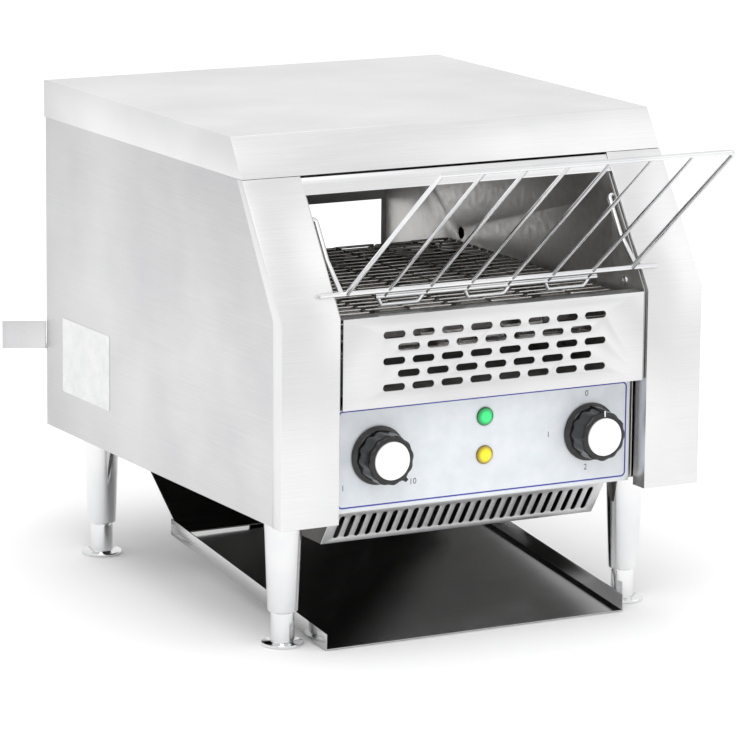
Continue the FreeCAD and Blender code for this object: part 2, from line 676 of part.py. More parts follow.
def belt_path():
    # Each strand's place and heading, round the two sprockets and along both runs.
    stations = []
    for index in range(BELT_RUN_LINKS):
        stations.append((IDLER_Y + index * BELT_PITCH, BELT_TOP))
    for index in range(BELT_TEETH // 2):
        angle = math.pi / 2 - index * 2 * math.pi / BELT_TEETH
        stations.append((DRIVE_Y + BELT_RADIUS * math.cos(angle), SHAFT_HEIGHT + BELT_RADIUS * math.sin(angle)))
    for index in range(BELT_RUN_LINKS):
        stations.append((DRIVE_Y - index * BELT_PITCH, SHAFT_HEIGHT - BELT_RADIUS))
    for index in range(BELT_TEETH // 2):
        angle = -math.pi / 2 - index * 2 * math.pi / BELT_TEETH
        stations.append((IDLER_Y + BELT_RADIUS * math.cos(angle), SHAFT_HEIGHT + BELT_RADIUS * math.sin(angle)))
    return stations


def make_belt():
    strand = belt_strand()
    stations = belt_path()
    solids = []
    for index, (y, z) in enumerate(stations):
        next_y, next_z = stations[(index + 1) % len(stations)]
        angle = math.degrees(math.atan2(next_z - z, next_y - y))
        copy = strand.copy()
        copy.rotate(FreeCAD.Vector(0, 0, 0), FreeCAD.Vector(1, 0, 0), angle)
        copy.translate(point(0, y, z))
        solids.append(copy)
    save("conveyor_belt", group(solids))


def notched_wheel(x0, x1, y):
    # A belt sprocket: square notches, one of them straight up. Its rim stays inside the belt's wires.
    outer = BELT_RADIUS - BELT_WIRE / math.sqrt(2.0) - SPROCKET_CLEARANCE
    floor = outer - NOTCH_DEPTH
    outline = []
    for index in range(BELT_TEETH):
        angle = math.pi / 2 + index * 2 * math.pi / BELT_TEETH
        for radius, side in ((outer, -1), (floor, -1), (floor, 1), (outer, 1)):
            turn = angle + side * math.asin(NOTCH_HALF_WIDTH / radius)
            outline.append((y + radius * math.cos(turn), SHAFT_HEIGHT + radius * math.sin(turn)))
    wheel = side_profile(outline, x0, x1)
    return wheel.cut(prism_x(6, BELT_SHAFT_RADIUS, x0, x1, y, SHAFT_HEIGHT))


def chain_wheel(teeth, y, z, bore):
    # A chain sprocket: a seat for each roller between pointed teeth, one seat straight up.
    # Its tips stay inside the rollers, so that it turns while the chain stands.
    crest = chain_radius(teeth) - CHAIN_ROLLER_RADIUS - CHAIN_SEAT_CLEARANCE
    floor = crest - CHAIN_TOOTH_HEIGHT
    step = 2 * math.pi / teeth
    outline = []
    for index in range(teeth):
        angle = math.pi / 2 + index * step
        seat = CHAIN_SEAT_SHARE * step
        tip = CHAIN_TIP_SHARE * step
        for reach, turn in ((floor, angle - seat), (floor, angle + seat),
                            (crest, angle + step / 2.0 - tip),
                            (crest, angle + step / 2.0 + tip)):
            outline.append((y + reach * math.cos(turn), z + reach * math.sin(turn)))
    x1 = CHAIN_X + CHAIN_SPROCKET_THICKNESS
    wheel = side_profile(outline, CHAIN_X, x1)
    return wheel.cut(prism_x(6, bore, CHAIN_X, x1, y, z))


def make_belt_drive():
    half = SPROCKET_THICKNESS / 2.0
    places = [-BELT_HALF_WIDTH + (index + 0.5) * BELT_SPACE for index in range(0, BELT_SPACES, 2)]
    journal = WALL_HALF_GAP + SHEET + BUSH_THICKNESS + JOURNAL_PROUD
    chain_end = CHAIN_X + CHAIN_SPROCKET_THICKNESS + JOURNAL_PROUD
    bushes = []
    for name, y in (("idler", IDLER_Y), ("drive", DRIVE_Y)):
        z = SHAFT_HEIGHT
        shoulder = WALL_HALF_GAP - JOURNAL_GAP
        pieces = [prism_x(6, BELT_SHAFT_RADIUS, -shoulder, shoulder, y, z),
                  rod((-journal, y, z), (journal, y, z), JOURNAL_RADIUS)]
        if name == "drive":
            pieces.append(prism_x(6, BELT_SHAFT_RADIUS, journal, chain_end, y, z))
        save(name + "_shaft", join(pieces))
        save(name + "_belt_sprockets", group([notched_wheel(x - half, x + half, y) for x in places]))
        plate = box(WALL_HALF_GAP + SHEET, WALL_HALF_GAP + SHEET + BUSH_THICKNESS, y - BUSH_SIZE / 2.0,
                    y + BUSH_SIZE / 2.0, z - BUSH_SIZE / 2.0, z + BUSH_SIZE / 2.0)
        plate = plate.cut(rod((WALL_HALF_GAP, y, z), (journal, y, z), JOURNAL_RADIUS + RUNNING_CLEARANCE))
        bushes += [plate, mirrored(plate)]
    save("shaft_bushes", group(bushes))


def make_belt_support():
    top = BELT_TOP - BELT_WIRE / 2.0 - RAIL_CLEARANCE
    y0 = IDLER_Y + RAIL_END_GAP
    y1 = DRIVE_Y - RAIL_END_GAP
    pieces = [box(side * 2.0 * BELT_SPACE - RAIL_WIDTH / 2.0, side * 2.0 * BELT_SPACE + RAIL_WIDTH / 2.0, y0, y1,
                  top - RAIL_HEIGHT, top) for side in (-1, 0, 1)]
    for y in (y0 + CROSS_BAR_INSET, y1 - CROSS_BAR_INSET - CROSS_BAR):
        z = top - RAIL_HEIGHT
        pieces.append(box(-WALL_HALF_GAP, WALL_HALF_GAP, y, y + CROSS_BAR, z - CROSS_BAR, z))
    save("belt_support", join(pieces))


def make_chain_drive():
    x0 = CHAIN_X
    x1 = x0 + CHAIN_SPROCKET_THICKNESS
    save("shaft_chain_sprocket", chain_wheel(DRIVE_TEETH, DRIVE_Y, SHAFT_HEIGHT, BELT_SHAFT_RADIUS))
    save("motor_sprocket", chain_wheel(MOTOR_TEETH, MOTOR_Y, MOTOR_HEIGHT, MOTOR_SHAFT_RADIUS))
    big = chain_radius(DRIVE_TEETH)
    small = chain_radius(MOTOR_TEETH)
    rings = []
    for grow in (CHAIN_PLATE_HALF_HEIGHT, -CHAIN_PLATE_HALF_HEIGHT):
        rings.append(chain_loop(big + grow, small + grow))
    for x in (x0 - CHAIN_SIDE_GAP - CHAIN_PLATE, x1 + CHAIN_SIDE_GAP):
        outer = Part.Face(rings[0]).extrude(FreeCAD.Vector(CHAIN_PLATE, 0, 0))
        inner = Part.Face(rings[1]).extrude(FreeCAD.Vector(CHAIN_PLATE, 0, 0))
        plate = outer.cut(inner)
        plate.translate(FreeCAD.Vector(x, 0, 0))
        rings.append(plate)
    left = x0 - CHAIN_SIDE_GAP
    right = x1 + CHAIN_SIDE_GAP
    rollers = []
    for y, z in chain_rollers(big, small):
        rollers.append(prism_x(ROLLER_SIDES, CHAIN_ROLLER_RADIUS, left, right, y, z))
    save("drive_chain", group(rings[2:] + rollers))


def chain_radius(teeth):
    return CHAIN_PITCH / (2.0 * math.sin(math.pi / teeth))


def chain_angles(big, small):
    # The direction from the large wheel to the small one, and the tilt of the tangents.
    dy = MOTOR_Y - DRIVE_Y
    dz = MOTOR_HEIGHT - SHAFT_HEIGHT
    distance = math.hypot(dy, dz)
    return math.atan2(dz, dy), math.acos((big - small) / distance), distance


def chain_loop(big, small):
    heading, spread, distance = chain_angles(big, small)

    def on(y, z, r, angle):
        return point(0, y + r * math.cos(angle), z + r * math.sin(angle))
    a = heading + spread
    b = heading - spread
    arc_big = Part.Arc(on(DRIVE_Y, SHAFT_HEIGHT, big, a), on(DRIVE_Y, SHAFT_HEIGHT, big, heading + math.pi),
                       on(DRIVE_Y, SHAFT_HEIGHT, big, b)).toShape()
    arc_small = Part.Arc(on(MOTOR_Y, MOTOR_HEIGHT, small, b), on(MOTOR_Y, MOTOR_HEIGHT, small, heading),
                         on(MOTOR_Y, MOTOR_HEIGHT, small, a)).toShape()
    line_1 = Part.LineSegment(on(DRIVE_Y, SHAFT_HEIGHT, big, b), on(MOTOR_Y, MOTOR_HEIGHT, small, b)).toShape()
    line_2 = Part.LineSegment(on(MOTOR_Y, MOTOR_HEIGHT, small, a), on(DRIVE_Y, SHAFT_HEIGHT, big, a)).toShape()
    return Part.Wire([arc_big, line_1, arc_small, line_2])


def chain_rollers(big, small):
    # Rollers in the seats of both wheels, and evenly spaced along the two straight runs.
    heading, spread, distance = chain_angles(big, small)
    run = math.sqrt(distance ** 2 - (big - small) ** 2)
    centres = []
    for side in (1, -1):
        angle = heading + side * spread
        tangent = (MOTOR_Y + small * math.cos(angle) - DRIVE_Y - big * math.cos(angle),
                   MOTOR_HEIGHT + small * math.sin(angle) - SHAFT_HEIGHT - big * math.sin(angle))
        first = free_start(big, DRIVE_TEETH, angle, side)
        last = run - free_start(small, MOTOR_TEETH, angle, -side)
        count = round((last - first) / CHAIN_PITCH) + 1
        for index in range(count):
            part = (first + index * (last - first) / (count - 1)) / run
            centres.append((DRIVE_Y + big * math.cos(angle) + part * tangent[0],
                            SHAFT_HEIGHT + big * math.sin(angle) + part * tangent[1]))
    for y, z, r, teeth, middle, half in (
            (DRIVE_Y, SHAFT_HEIGHT, big, DRIVE_TEETH, heading + math.pi, math.pi - spread),
            (MOTOR_Y, MOTOR_HEIGHT, small, MOTOR_TEETH, heading, spread)):
        for index in range(teeth):
            angle = math.pi / 2 + index * 2 * math.pi / teeth
            off = (angle - middle + math.pi) % (2 * math.pi) - math.pi
            if abs(off) <= half:
                centres.append((y + r * math.cos(angle), z + r * math.sin(angle)))
    return centres


def free_start(radius, teeth, tangent_angle, side):
    # How far past its tangent point the chain's first unseated roller lies, one pitch from the last seat.
    step = 2 * math.pi / teeth
    back = ((math.pi / 2 - tangent_angle) * side) % step
    sag = radius * (1.0 - math.cos(back))
    return math.sqrt(CHAIN_PITCH ** 2 - sag ** 2) - radius * math.sin(back)


def make_motor():
    x_face = CHAIN_X + CHAIN_SPROCKET_THICKNESS + CHAIN_SIDE_GAP + CHAIN_PLATE + BRACKET_GAP
    y, z = MOTOR_Y, MOTOR_HEIGHT
    bracket = box(x_face, x_face + BRACKET_THICKNESS, y - BRACKET_HALF_WIDTH, y + BRACKET_HALF_WIDTH,
                  2.0 * SHEET, z + MOTOR_RADIUS + BRACKET_MARGIN)
    foot = box(x_face, x_face + BRACKET_FOOT, y - BRACKET_HALF_WIDTH, y + BRACKET_HALF_WIDTH,
               2.0 * SHEET, 2.0 * SHEET + BRACKET_THICKNESS)
    reach = MOTOR_SHAFT_RADIUS + BRACKET_HOLE
    hole = box(x_face, x_face + BRACKET_THICKNESS, y - reach, y + reach, z - reach, z + reach)
    save("motor_bracket", join([bracket, foot]).cut(hole))
    back = x_face + BRACKET_THICKNESS
    case = box(back, back + GEARBOX_LENGTH, y - MOTOR_RADIUS, y + MOTOR_RADIUS, z - MOTOR_RADIUS, z + MOTOR_RADIUS)
    can = rod((back + GEARBOX_LENGTH, y, z), (back + MOTOR_LENGTH, y, z), MOTOR_RADIUS)
    socket = rod((back, y, z), (back + GEARBOX_LENGTH, y, z), MOTOR_JOURNAL_RADIUS + RUNNING_CLEARANCE)
    save("gear_motor", join([case, can]).cut(socket))
    tail = rod((back - JOURNAL_GAP, y, z), (back + GEARBOX_LENGTH - JOURNAL_GAP, y, z), MOTOR_JOURNAL_RADIUS)
    nose = prism_x(6, MOTOR_SHAFT_RADIUS, CHAIN_X - JOURNAL_GAP, back - JOURNAL_GAP, y, z)
    save("motor_shaft", join([tail, nose]))


def make_fan():
    z = -BOX_DROP + SHEET + FAN_STAND_GAP + FAN_SIZE / 2.0
    half = FAN_SIZE / 2.0
    frame = box(-half, half, FAN_Y, FAN_Y + FAN_DEPTH, z - half, z + half)
    frame = frame.cut(rod((0, FAN_Y - 1, z), (0, FAN_Y + FAN_DEPTH + 1, z), FAN_BORE_RADIUS))
    back = FAN_Y + FAN_DEPTH
    rib = FAN_STRUT / 2.0
    front = back - FAN_STRUT
    seat = box(-FAN_HUB_RADIUS, FAN_HUB_RADIUS, front, back, z - FAN_HUB_RADIUS, z + FAN_HUB_RADIUS)
    spans = [box(-half, half, front, back, z - rib, z + rib), box(-rib, rib, front, back, z - half, z + half)]
    feet = box(-half, half, FAN_Y, back, z - half - FAN_STAND_GAP, z - half)
    save("fan_frame", join([frame, seat, feet] + spans))
    hub = rod((0, FAN_Y + FAN_STRUT, z), (0, front - FAN_HUB_GAP, z), FAN_HUB_RADIUS)
    blades = []
    for index in range(FAN_BLADES):
        root = FAN_HUB_RADIUS - FAN_BLADE_ROOT
        blade = Part.makeBox(FAN_BLADE_RADIUS - root, FAN_BLADE_WIDTH, FAN_BLADE_THICKNESS)
        blade.translate(FreeCAD.Vector(root, -FAN_BLADE_WIDTH / 2, -FAN_BLADE_THICKNESS / 2))
        blade.rotate(FreeCAD.Vector(0, 0, 0), FreeCAD.Vector(1, 0, 0), FAN_BLADE_PITCH)
        blade.rotate(FreeCAD.Vector(0, 0, 0), FreeCAD.Vector(0, 1, 0), index * 360.0 / FAN_BLADES)
        blade.translate(point(0, FAN_Y + FAN_DEPTH / 2.0 - FAN_HUB_GAP, z))
        blades.append(blade)
    save("fan_impeller", join([hub] + blades))


def make_knobs():
    front = FASCIA_RECESS - OVERLAY_THICKNESS - KNOB_GAP
    tip = front - KNOB_LENGTH
    z = KNOB_HEIGHT
    switch_names = {"speed": "speed_controller", "mode": "mode_switch"}
    for name, x, angle in (("speed", -KNOB_OFFSET, SPEED_POINTER_ANGLE), ("mode", KNOB_OFFSET, 0.0)):
        skirt = rod((x, front, z), (x, front - KNOB_SKIRT_THICKNESS, z), KNOB_SKIRT_RADIUS)
        outline = []
        for index in range(KNOB_FLUTES):
            for share, reach in FLUTE_OUTLINE:
                turn = math.radians((index + share) * 360.0 / KNOB_FLUTES + angle)
                radius = KNOB_GRIP_RADIUS - reach * FLUTE_DEPTH
                outline.append((x + radius * math.sin(turn), z + radius * math.cos(turn)))
        grip = front_profile(outline, tip, front - KNOB_SKIRT_THICKNESS)
        pointer = Part.makeBox(POINTER_WIDTH, KNOB_LENGTH - KNOB_SKIRT_THICKNESS, POINTER_REACH)
        pointer.translate(FreeCAD.Vector(-POINTER_WIDTH / 2, 0, 0))
        pointer.rotate(FreeCAD.Vector(0, 0, 0), FreeCAD.Vector(0, 1, 0), angle)
        pointer.translate(point(x, tip, z))
        seat = rod((x, tip, z), (x, tip + KNOB_CAP_SEAT, z), KNOB_CAP_RADIUS)
        socket = rod((x, front, z), (x, front - KNOB_SHAFT_SOCKET, z), KNOB_SHAFT_RADIUS)
        save(name + "_knob", join([skirt, grip, pointer]).cut([seat, socket]))
        save(name + "_knob_cap", rod((x, tip + KNOB_CAP_SEAT, z), (x, tip - KNOB_CAP_PROUD, z), KNOB_CAP_RADIUS))
        back = FASCIA_RECESS + SHEET
        save(name + "_shaft", rod((x, front - KNOB_SHAFT_SOCKET, z), (x, back + SWITCH_DEPTH - SWITCH_WALL, z),
                                  KNOB_SHAFT_RADIUS))
        half = SWITCH_WIDTH / 2.0
        case = box(x - half, x + half, back, back + SWITCH_DEPTH, z - half, z + half)
        reach = SWITCH_NECK / 2.0
        neck = box(x - reach, x + reach, FASCIA_RECESS - OVERLAY_THICKNESS, back, z - reach, z + reach)
        bore = rod((x, FASCIA_RECESS - SHEET, z), (x, back + SWITCH_DEPTH - SWITCH_WALL + SEAM, z),
                   KNOB_SHAFT_RADIUS + SHAFT_CLEARANCE)
        save(switch_names[name], join([case, neck]).cut(bore))


def make_lamps():
    front = FASCIA_RECESS - OVERLAY_THICKNESS
    for name, z in zip(("power_lamp", "heat_lamp"), LAMP_HEIGHTS):
        rim = rod((0, front, z), (0, front - LAMP_RIM, z), LAMP_RADIUS)
        lens = rod((0, front, z), (0, front - LAMP_PROUD, z), LAMP_LENS_RADIUS)
        reach = LAMP_BODY / 2.0
        body = box(-reach, reach, front, front + LAMP_BODY_LENGTH, z - reach, z + reach)
        clip_y = FASCIA_RECESS + SHEET
        wide = LAMP_CLIP / 2.0
        nut = box(-wide, wide, clip_y, clip_y + LAMP_CLIP_THICKNESS, z - wide, z + wide)
        save(name, join([rim, lens, body, nut]))


def make_electrics():
    sx, sy, sz = TERMINAL_SIZE
    x0 = TERMINAL_X
    y0 = BOX_REAR - SHEET - sy - TERMINAL_GAP
    top = -BOX_DROP + SHEET + sz
    block = box(x0, x0 + sx, y0, y0 + sy, -BOX_DROP + SHEET, top)
    wells = []
    for index in range(TERMINAL_WAYS):
        x = x0 + (index + 0.5) * sx / TERMINAL_WAYS
        wells.append(box(x - TERMINAL_WELL, x + TERMINAL_WELL, y0 + TERMINAL_WELL, y0 + sy - TERMINAL_WELL,
                         top - TERMINAL_WELL_DEPTH, top))
    save("terminal_block", block.cut(wells))
    x = WALL_HALF_GAP + SHEET
    y = UPPER_HEATER_FIRST + UPPER_HEATER_PITCH
    z = THERMOSTAT_HEIGHT
    wide = THERMOSTAT_FLANGE / 2.0
    body = rod((x, y, z), (x + THERMOSTAT_LENGTH, y, z), THERMOSTAT_RADIUS)
    flange = box(x, x + SHEET, y - wide, y + wide, z - THERMOSTAT_RADIUS, z + THERMOSTAT_RADIUS)
    save("safety_thermostat", join([body, flange]))
    x = GLAND_X
    y = REAR_FACE
    z = GLAND_HEIGHT
    outer = hexagon_y(GLAND_RADIUS, y, y + GLAND_PROUD, x, z)
    through = hexagon_y(GLAND_NECK_RADIUS, y - GLAND_LENGTH, y, x, z)
    nut = hexagon_y(GLAND_RADIUS, y - SHEET - GLAND_NUT, y - SHEET, x, z)
    bore = rod((x, y - GLAND_LENGTH, z), (x, y + GLAND_PROUD, z), GLAND_BORE_RADIUS)
    save("cable_gland", join([outer, through, nut]).cut(bore))


def make_feed_rack():
    y0, z0 = RACK_ROD_Y, RACK_ROD_HEIGHT
    y1, z1 = y0 - RACK_REACH, RACK_TOP_HEIGHT
    length = math.hypot(y1 - y0, z1 - z0)
    uy, uz = (y1 - y0) / length, (z1 - z0) / length
    pieces = [wire((-RACK_HALF_WIDTH, y0, z0), (RACK_HALF_WIDTH, y0, z0), RACK_ROD_RADIUS)]
    pieces.append(wire((-RACK_WIRE_HALF_SPAN, y1, z1), (RACK_WIRE_HALF_SPAN, y1, z1), RACK_ROD_RADIUS))
    low_y, low_z = y0 - uy * RACK_STOP_ROD_DROP, z0 - uz * RACK_STOP_ROD_DROP
    pieces.append(wire((-RACK_STOP_ROD_HALF, low_y, low_z), (RACK_STOP_ROD_HALF, low_y, low_z), RACK_ROD_RADIUS))
    for index in range(RACK_WIRES):
        x = -RACK_WIRE_HALF_SPAN + index * 2.0 * RACK_WIRE_HALF_SPAN / (RACK_WIRES - 1)
        outer = index in (0, RACK_WIRES - 1)
        radius = RACK_ROD_RADIUS if outer else RACK_WIRE_RADIUS
        start = (x, y0, z0) if outer else (x, low_y, low_z)
        pieces.append(wire(start, (x, y1, z1), radius))
    for side in (-1, 1):
        x = side * RACK_HOOK_X
        knee = (x, RACK_KNEE_Y, RACK_KNEE_HEIGHT)
        pin = (x, RACK_PIN_Y, RACK_PIN_HEIGHT)
        pieces.append(wire((x, y0, z0), knee, RACK_ROD_RADIUS))
        pieces.append(wire(knee, pin, RACK_ROD_RADIUS))
        inner = x - side * RACK_ROD_RADIUS
        pieces.append(rod((inner, RACK_PIN_Y, RACK_PIN_HEIGHT), (side * RACK_PIN_END, RACK_PIN_Y, RACK_PIN_HEIGHT),
                          RACK_ROD_RADIUS))
    save("feed_rack", join(pieces))


def make_toast_path():
    y0, y1 = TRAY_FRONT, TRAY_REAR
    slope = TRAY_RISE / (y1 - y0)
    z0, z1 = TRAY_FRONT_HEIGHT - LEG_HEIGHT, TRAY_FRONT_HEIGHT - LEG_HEIGHT + TRAY_RISE
    half = TRAY_HALF_WIDTH
    floor = side_profile([(y0, z0), (y1, z1), (y1, z1 + SHEET), (y0, z0 + SHEET)], -half, half)
    side = [(y0, z0), (y1, z1), (y1, z1 + TRAY_FLANGE), (y0, z0 + TRAY_FLANGE)]
    left = side_profile(side, -half, -half + SHEET)
    right = side_profile(side, half - SHEET, half)
    save("toast_tray", join([floor, left, right]))
    tangent = math.tan(math.radians(CHUTE_ANGLE))
    thick = SHEET / math.cos(math.radians(CHUTE_ANGLE))
    c0 = CHUTE_FRONT
    c1 = REAR_FACE - SHEET - CHUTE_REAR_GAP
    d0 = CHUTE_FRONT_HEIGHT - LEG_HEIGHT
    d1 = d0 + (c1 - c0) * tangent
    ramp = side_profile([(c0, d0), (c1, d1), (c1, d1 + thick), (c0, d0 + thick)],
                        -CHUTE_HALF_WIDTH, CHUTE_HALF_WIDTH)
    stop = box(-CHUTE_HALF_WIDTH, CHUTE_HALF_WIDTH, c1 - SHEET, c1, d1, d1 + CHUTE_LIP)
    ears = []
    for side in (-1, 1):
        x = side * CHUTE_HALF_WIDTH
        wall = [(c1 - CHUTE_EAR, d1 - CHUTE_EAR * tangent), (c1, d1), (c1, d1 + CHUTE_LIP),
                (c1 - CHUTE_EAR, d1 + CHUTE_LIP)]
        ears.append(side_profile(wall, min(x, x - side * SHEET), max(x, x - side * SHEET)))
    pads = []
    for side in (-1, 1):
        inner = side * CHUTE_HALF_WIDTH
        outer = side * WALL_HALF_GAP
        pads.append(box(min(inner, outer), max(inner, outer), c1 - CHUTE_EAR, c1,
                        d1 + CHUTE_LIP - SHEET, d1 + CHUTE_LIP))
    save("drop_chute", join([ramp, stop] + ears + pads))
    under = z1 - SEAM - SHEET
    web_y = y1 + SEAM
    top = d0 + (web_y - c0) * tangent
    web = side_profile([(web_y, under), (web_y + SHEET, under), (web_y + SHEET, top + SHEET * tangent),
                        (web_y, top)], -HANGER_HALF_WIDTH, HANGER_HALF_WIDTH)
    y_ledge = web_y - HANGER_LEDGE
    drop = HANGER_LEDGE * slope
    ledge = side_profile([(y_ledge, under - drop), (web_y + SHEET, under + SHEET * slope),
                          (web_y + SHEET, under + SHEET + SHEET * slope), (y_ledge, under + SHEET - drop)],
                         -HANGER_HALF_WIDTH, HANGER_HALF_WIDTH)
    save("tray_hanger", join([web, ledge]))


def make_rear_shelf():
    y0 = BODY_DEPTH
    y1 = SHELF_END_Y
    z0 = SHELF_HEIGHT
    z1 = z0 - SHELF_DROP
    floor = side_profile([(y0, z0), (y1, z1), (y1, z1 + SHEET), (y0, z0 + SHEET)], -HALF, HALF)
    side = [(y0, z0), (y1, z1), (y1, z1 + SHELF_FLANGE), (y0, z0 + SHELF_FLANGE)]
    left = side_profile(side, -HALF, -HALF + SHEET)
    right = side_profile(side, HALF - SHEET, HALF)
    inner = HALF - SHELF_FIX_INSET
    flange = box(-inner, inner, REAR_FACE, REAR_FACE + SHEET, z0 - SHELF_FIX_FLANGE, z0 + SHEET)
    fold = box(-inner, inner, REAR_FACE, y0, z0, z0 + SHEET)
    save("rear_shelf", join([floor, left, right, flange, fold]))


def leg_ring(x, y, z, radius):
    turns = [2 * math.pi * corner / LEG_SIDES for corner in range(LEG_SIDES + 1)]
    return Part.makePolygon([point(x + radius * math.cos(turn), y + radius * math.sin(turn), z) for turn in turns])


def make_legs():
    z_top = SHEET
    legs = []
    z_end = LEG_CONE_END - LEG_HEIGHT
    disc_top = FOOT_DISC_THICKNESS - LEG_HEIGHT
    for end, y in (("front", LEG_FRONT_Y), ("rear", LEG_REAR_Y)):
        for side, sign in (("left", -1), ("right", 1)):
            x = sign * LEG_X
            rings = [leg_ring(x, y, z_end, LEG_BOTTOM_RADIUS), leg_ring(x, y, z_top, LEG_TOP_RADIUS)]
            cone = Part.makeLoft(rings, True, True)
            bore = hexagon_z(FOOT_SCREW_RADIUS + FOOT_CLEARANCE, x, y, z_end, z_end + FOOT_SCREW_LENGTH + FOOT_SCREW_ROOM)
            legs.append(cone.cut(bore))
            stem = rod((x, y, disc_top), (x, y, z_end - FOOT_STOP_GAP), FOOT_STEM_RADIUS)
            disc = rod((x, y, -LEG_HEIGHT), (x, y, disc_top), FOOT_DISC_RADIUS)
            screw = hexagon_z(FOOT_SCREW_RADIUS, x, y, z_end - FOOT_STOP_GAP, z_end + FOOT_SCREW_LENGTH)
            save("foot_" + end + "_" + side, join([disc, stem, screw]))
    save("legs", group(legs))


make_side_panels()
make_front_columns()
make_lid()
make_crossbar()
make_vent_panel()
make_fascia()
make_grille()
make_base()
make_walls()
make_rear_panel()
make_shields()
make_heaters()
make_belt()
make_belt_drive()
make_belt_support()
make_chain_drive()
make_motor()
make_fan()
make_knobs()
make_lamps()
make_electrics()
make_feed_rack()
make_toast_path()
make_rear_shelf()
make_legs()
print("Y of the body's front face", round(Y0, 3), "drive shaft height", round(SHAFT_HEIGHT + Z0, 3))
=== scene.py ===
import bpy
import json
import math
from mathutils import Matrix, Vector

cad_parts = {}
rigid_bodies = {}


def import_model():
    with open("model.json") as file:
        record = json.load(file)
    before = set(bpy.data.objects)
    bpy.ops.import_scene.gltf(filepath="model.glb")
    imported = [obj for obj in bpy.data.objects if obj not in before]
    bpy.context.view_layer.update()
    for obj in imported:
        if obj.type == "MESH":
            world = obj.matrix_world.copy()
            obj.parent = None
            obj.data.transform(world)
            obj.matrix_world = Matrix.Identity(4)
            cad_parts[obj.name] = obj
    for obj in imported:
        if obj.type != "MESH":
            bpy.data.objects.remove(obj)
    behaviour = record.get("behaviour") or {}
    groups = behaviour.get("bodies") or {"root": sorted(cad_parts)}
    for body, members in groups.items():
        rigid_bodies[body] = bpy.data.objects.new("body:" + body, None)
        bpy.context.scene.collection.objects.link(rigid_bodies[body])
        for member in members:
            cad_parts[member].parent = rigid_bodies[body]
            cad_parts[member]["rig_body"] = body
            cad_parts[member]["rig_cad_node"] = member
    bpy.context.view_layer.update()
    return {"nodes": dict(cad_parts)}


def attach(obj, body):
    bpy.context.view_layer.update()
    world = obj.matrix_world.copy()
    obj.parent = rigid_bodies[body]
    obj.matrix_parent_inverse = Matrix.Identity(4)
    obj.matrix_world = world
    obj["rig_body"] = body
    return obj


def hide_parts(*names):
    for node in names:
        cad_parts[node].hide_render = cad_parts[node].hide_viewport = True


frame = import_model()

# Lengths are in millimetres: x across, y from the front face of the body towards the
# rear, z from the lower edge of the body. The part's own frame lies lower and further back.
FRONT_Y = -186.222
LEG_HEIGHT = 104.0
BODY_HEIGHT = 286.0
SLANT_START = 157.0
SLANT_RUN = 85.8
SLANT_GRADIENT = SLANT_RUN / (BODY_HEIGHT - SLANT_START)
SHEET = 1.0


def place(x, y, z):
    return Vector((x, y + FRONT_Y, z + LEG_HEIGHT)) / 1000.0


# Colours and materials


def colour(code):
    """A screen colour as the shader's linear one."""
    parts = [int(code[i : i + 2], 16) / 255.0 for i in (1, 3, 5)]
    return tuple(
        p / 12.92 if p <= 0.04045 else ((p + 0.055) / 1.055) ** 2.4 for p in parts
    ) + (1.0,)


def add_node(tree, kind, settings=None, links=None):
    """One node, its settings by attribute or socket, and links into its sockets."""
    node = tree.nodes.new(kind)
    for key, value in (settings or {}).items():
        if isinstance(key, str) and hasattr(node, key):
            setattr(node, key, value)
        else:
            node.inputs[key].default_value = value
    for key, source in (links or {}).items():
        tree.links.new(source, node.inputs[key])
    return node


def new_material(name, settings):
    """A material with its principled shader set, ready for more nodes."""
    made = bpy.data.materials.new(name)
    made.use_nodes = True
    tree = made.node_tree
    tree.nodes.clear()
    shader = add_node(tree, "ShaderNodeBsdfPrincipled", settings)
    add_node(tree, "ShaderNodeOutputMaterial", None, {"Surface": shader.outputs[0]})
    coords = add_node(tree, "ShaderNodeTexCoord")
    return made, tree, shader, coords.outputs["Object"]


def pattern(tree, coords, scale, detail=3.0):
    """Noise at a scale given per millimetre along each axis, with values round one half."""
    steps = Vector(scale) * 1000.0
    spread = add_node(
        tree,
        "ShaderNodeVectorMath",
        {"operation": "MULTIPLY", 1: steps},
        {0: coords},
    )
    noise = add_node(
        tree,
        "ShaderNodeTexNoise",
        {"Scale": 1.0, "Detail": detail},
        {"Vector": spread.outputs[0]},
    )
    return noise.outputs[0]


def blend_colours(tree, share, low, high):
    mix = add_node(
        tree,
        "ShaderNodeMix",
        {"data_type": "RGBA"},
    )
    mix.inputs[6].default_value = colour(low)
    mix.inputs[7].default_value = colour(high)
    tree.links.new(share, mix.inputs[0])
    return mix.outputs[2]


def ranged(tree, share, low, high, start=0.3, end=0.7):
    node = add_node(
        tree,
        "ShaderNodeMapRange",
        {"From Min": start, "From Max": end, "To Min": low, "To Max": high},
        {"Value": share},
    )
    return node.outputs[0]


def bump(tree, shader, height, depth, strength=1.0):
    """Relief of a depth in millimetres."""
    node = add_node(
        tree,
        "ShaderNodeBump",
        {"Strength": strength, "Distance": depth / 1000.0},
        {"Height": height},
    )
    tree.links.new(node.outputs[0], shader.inputs["Normal"])


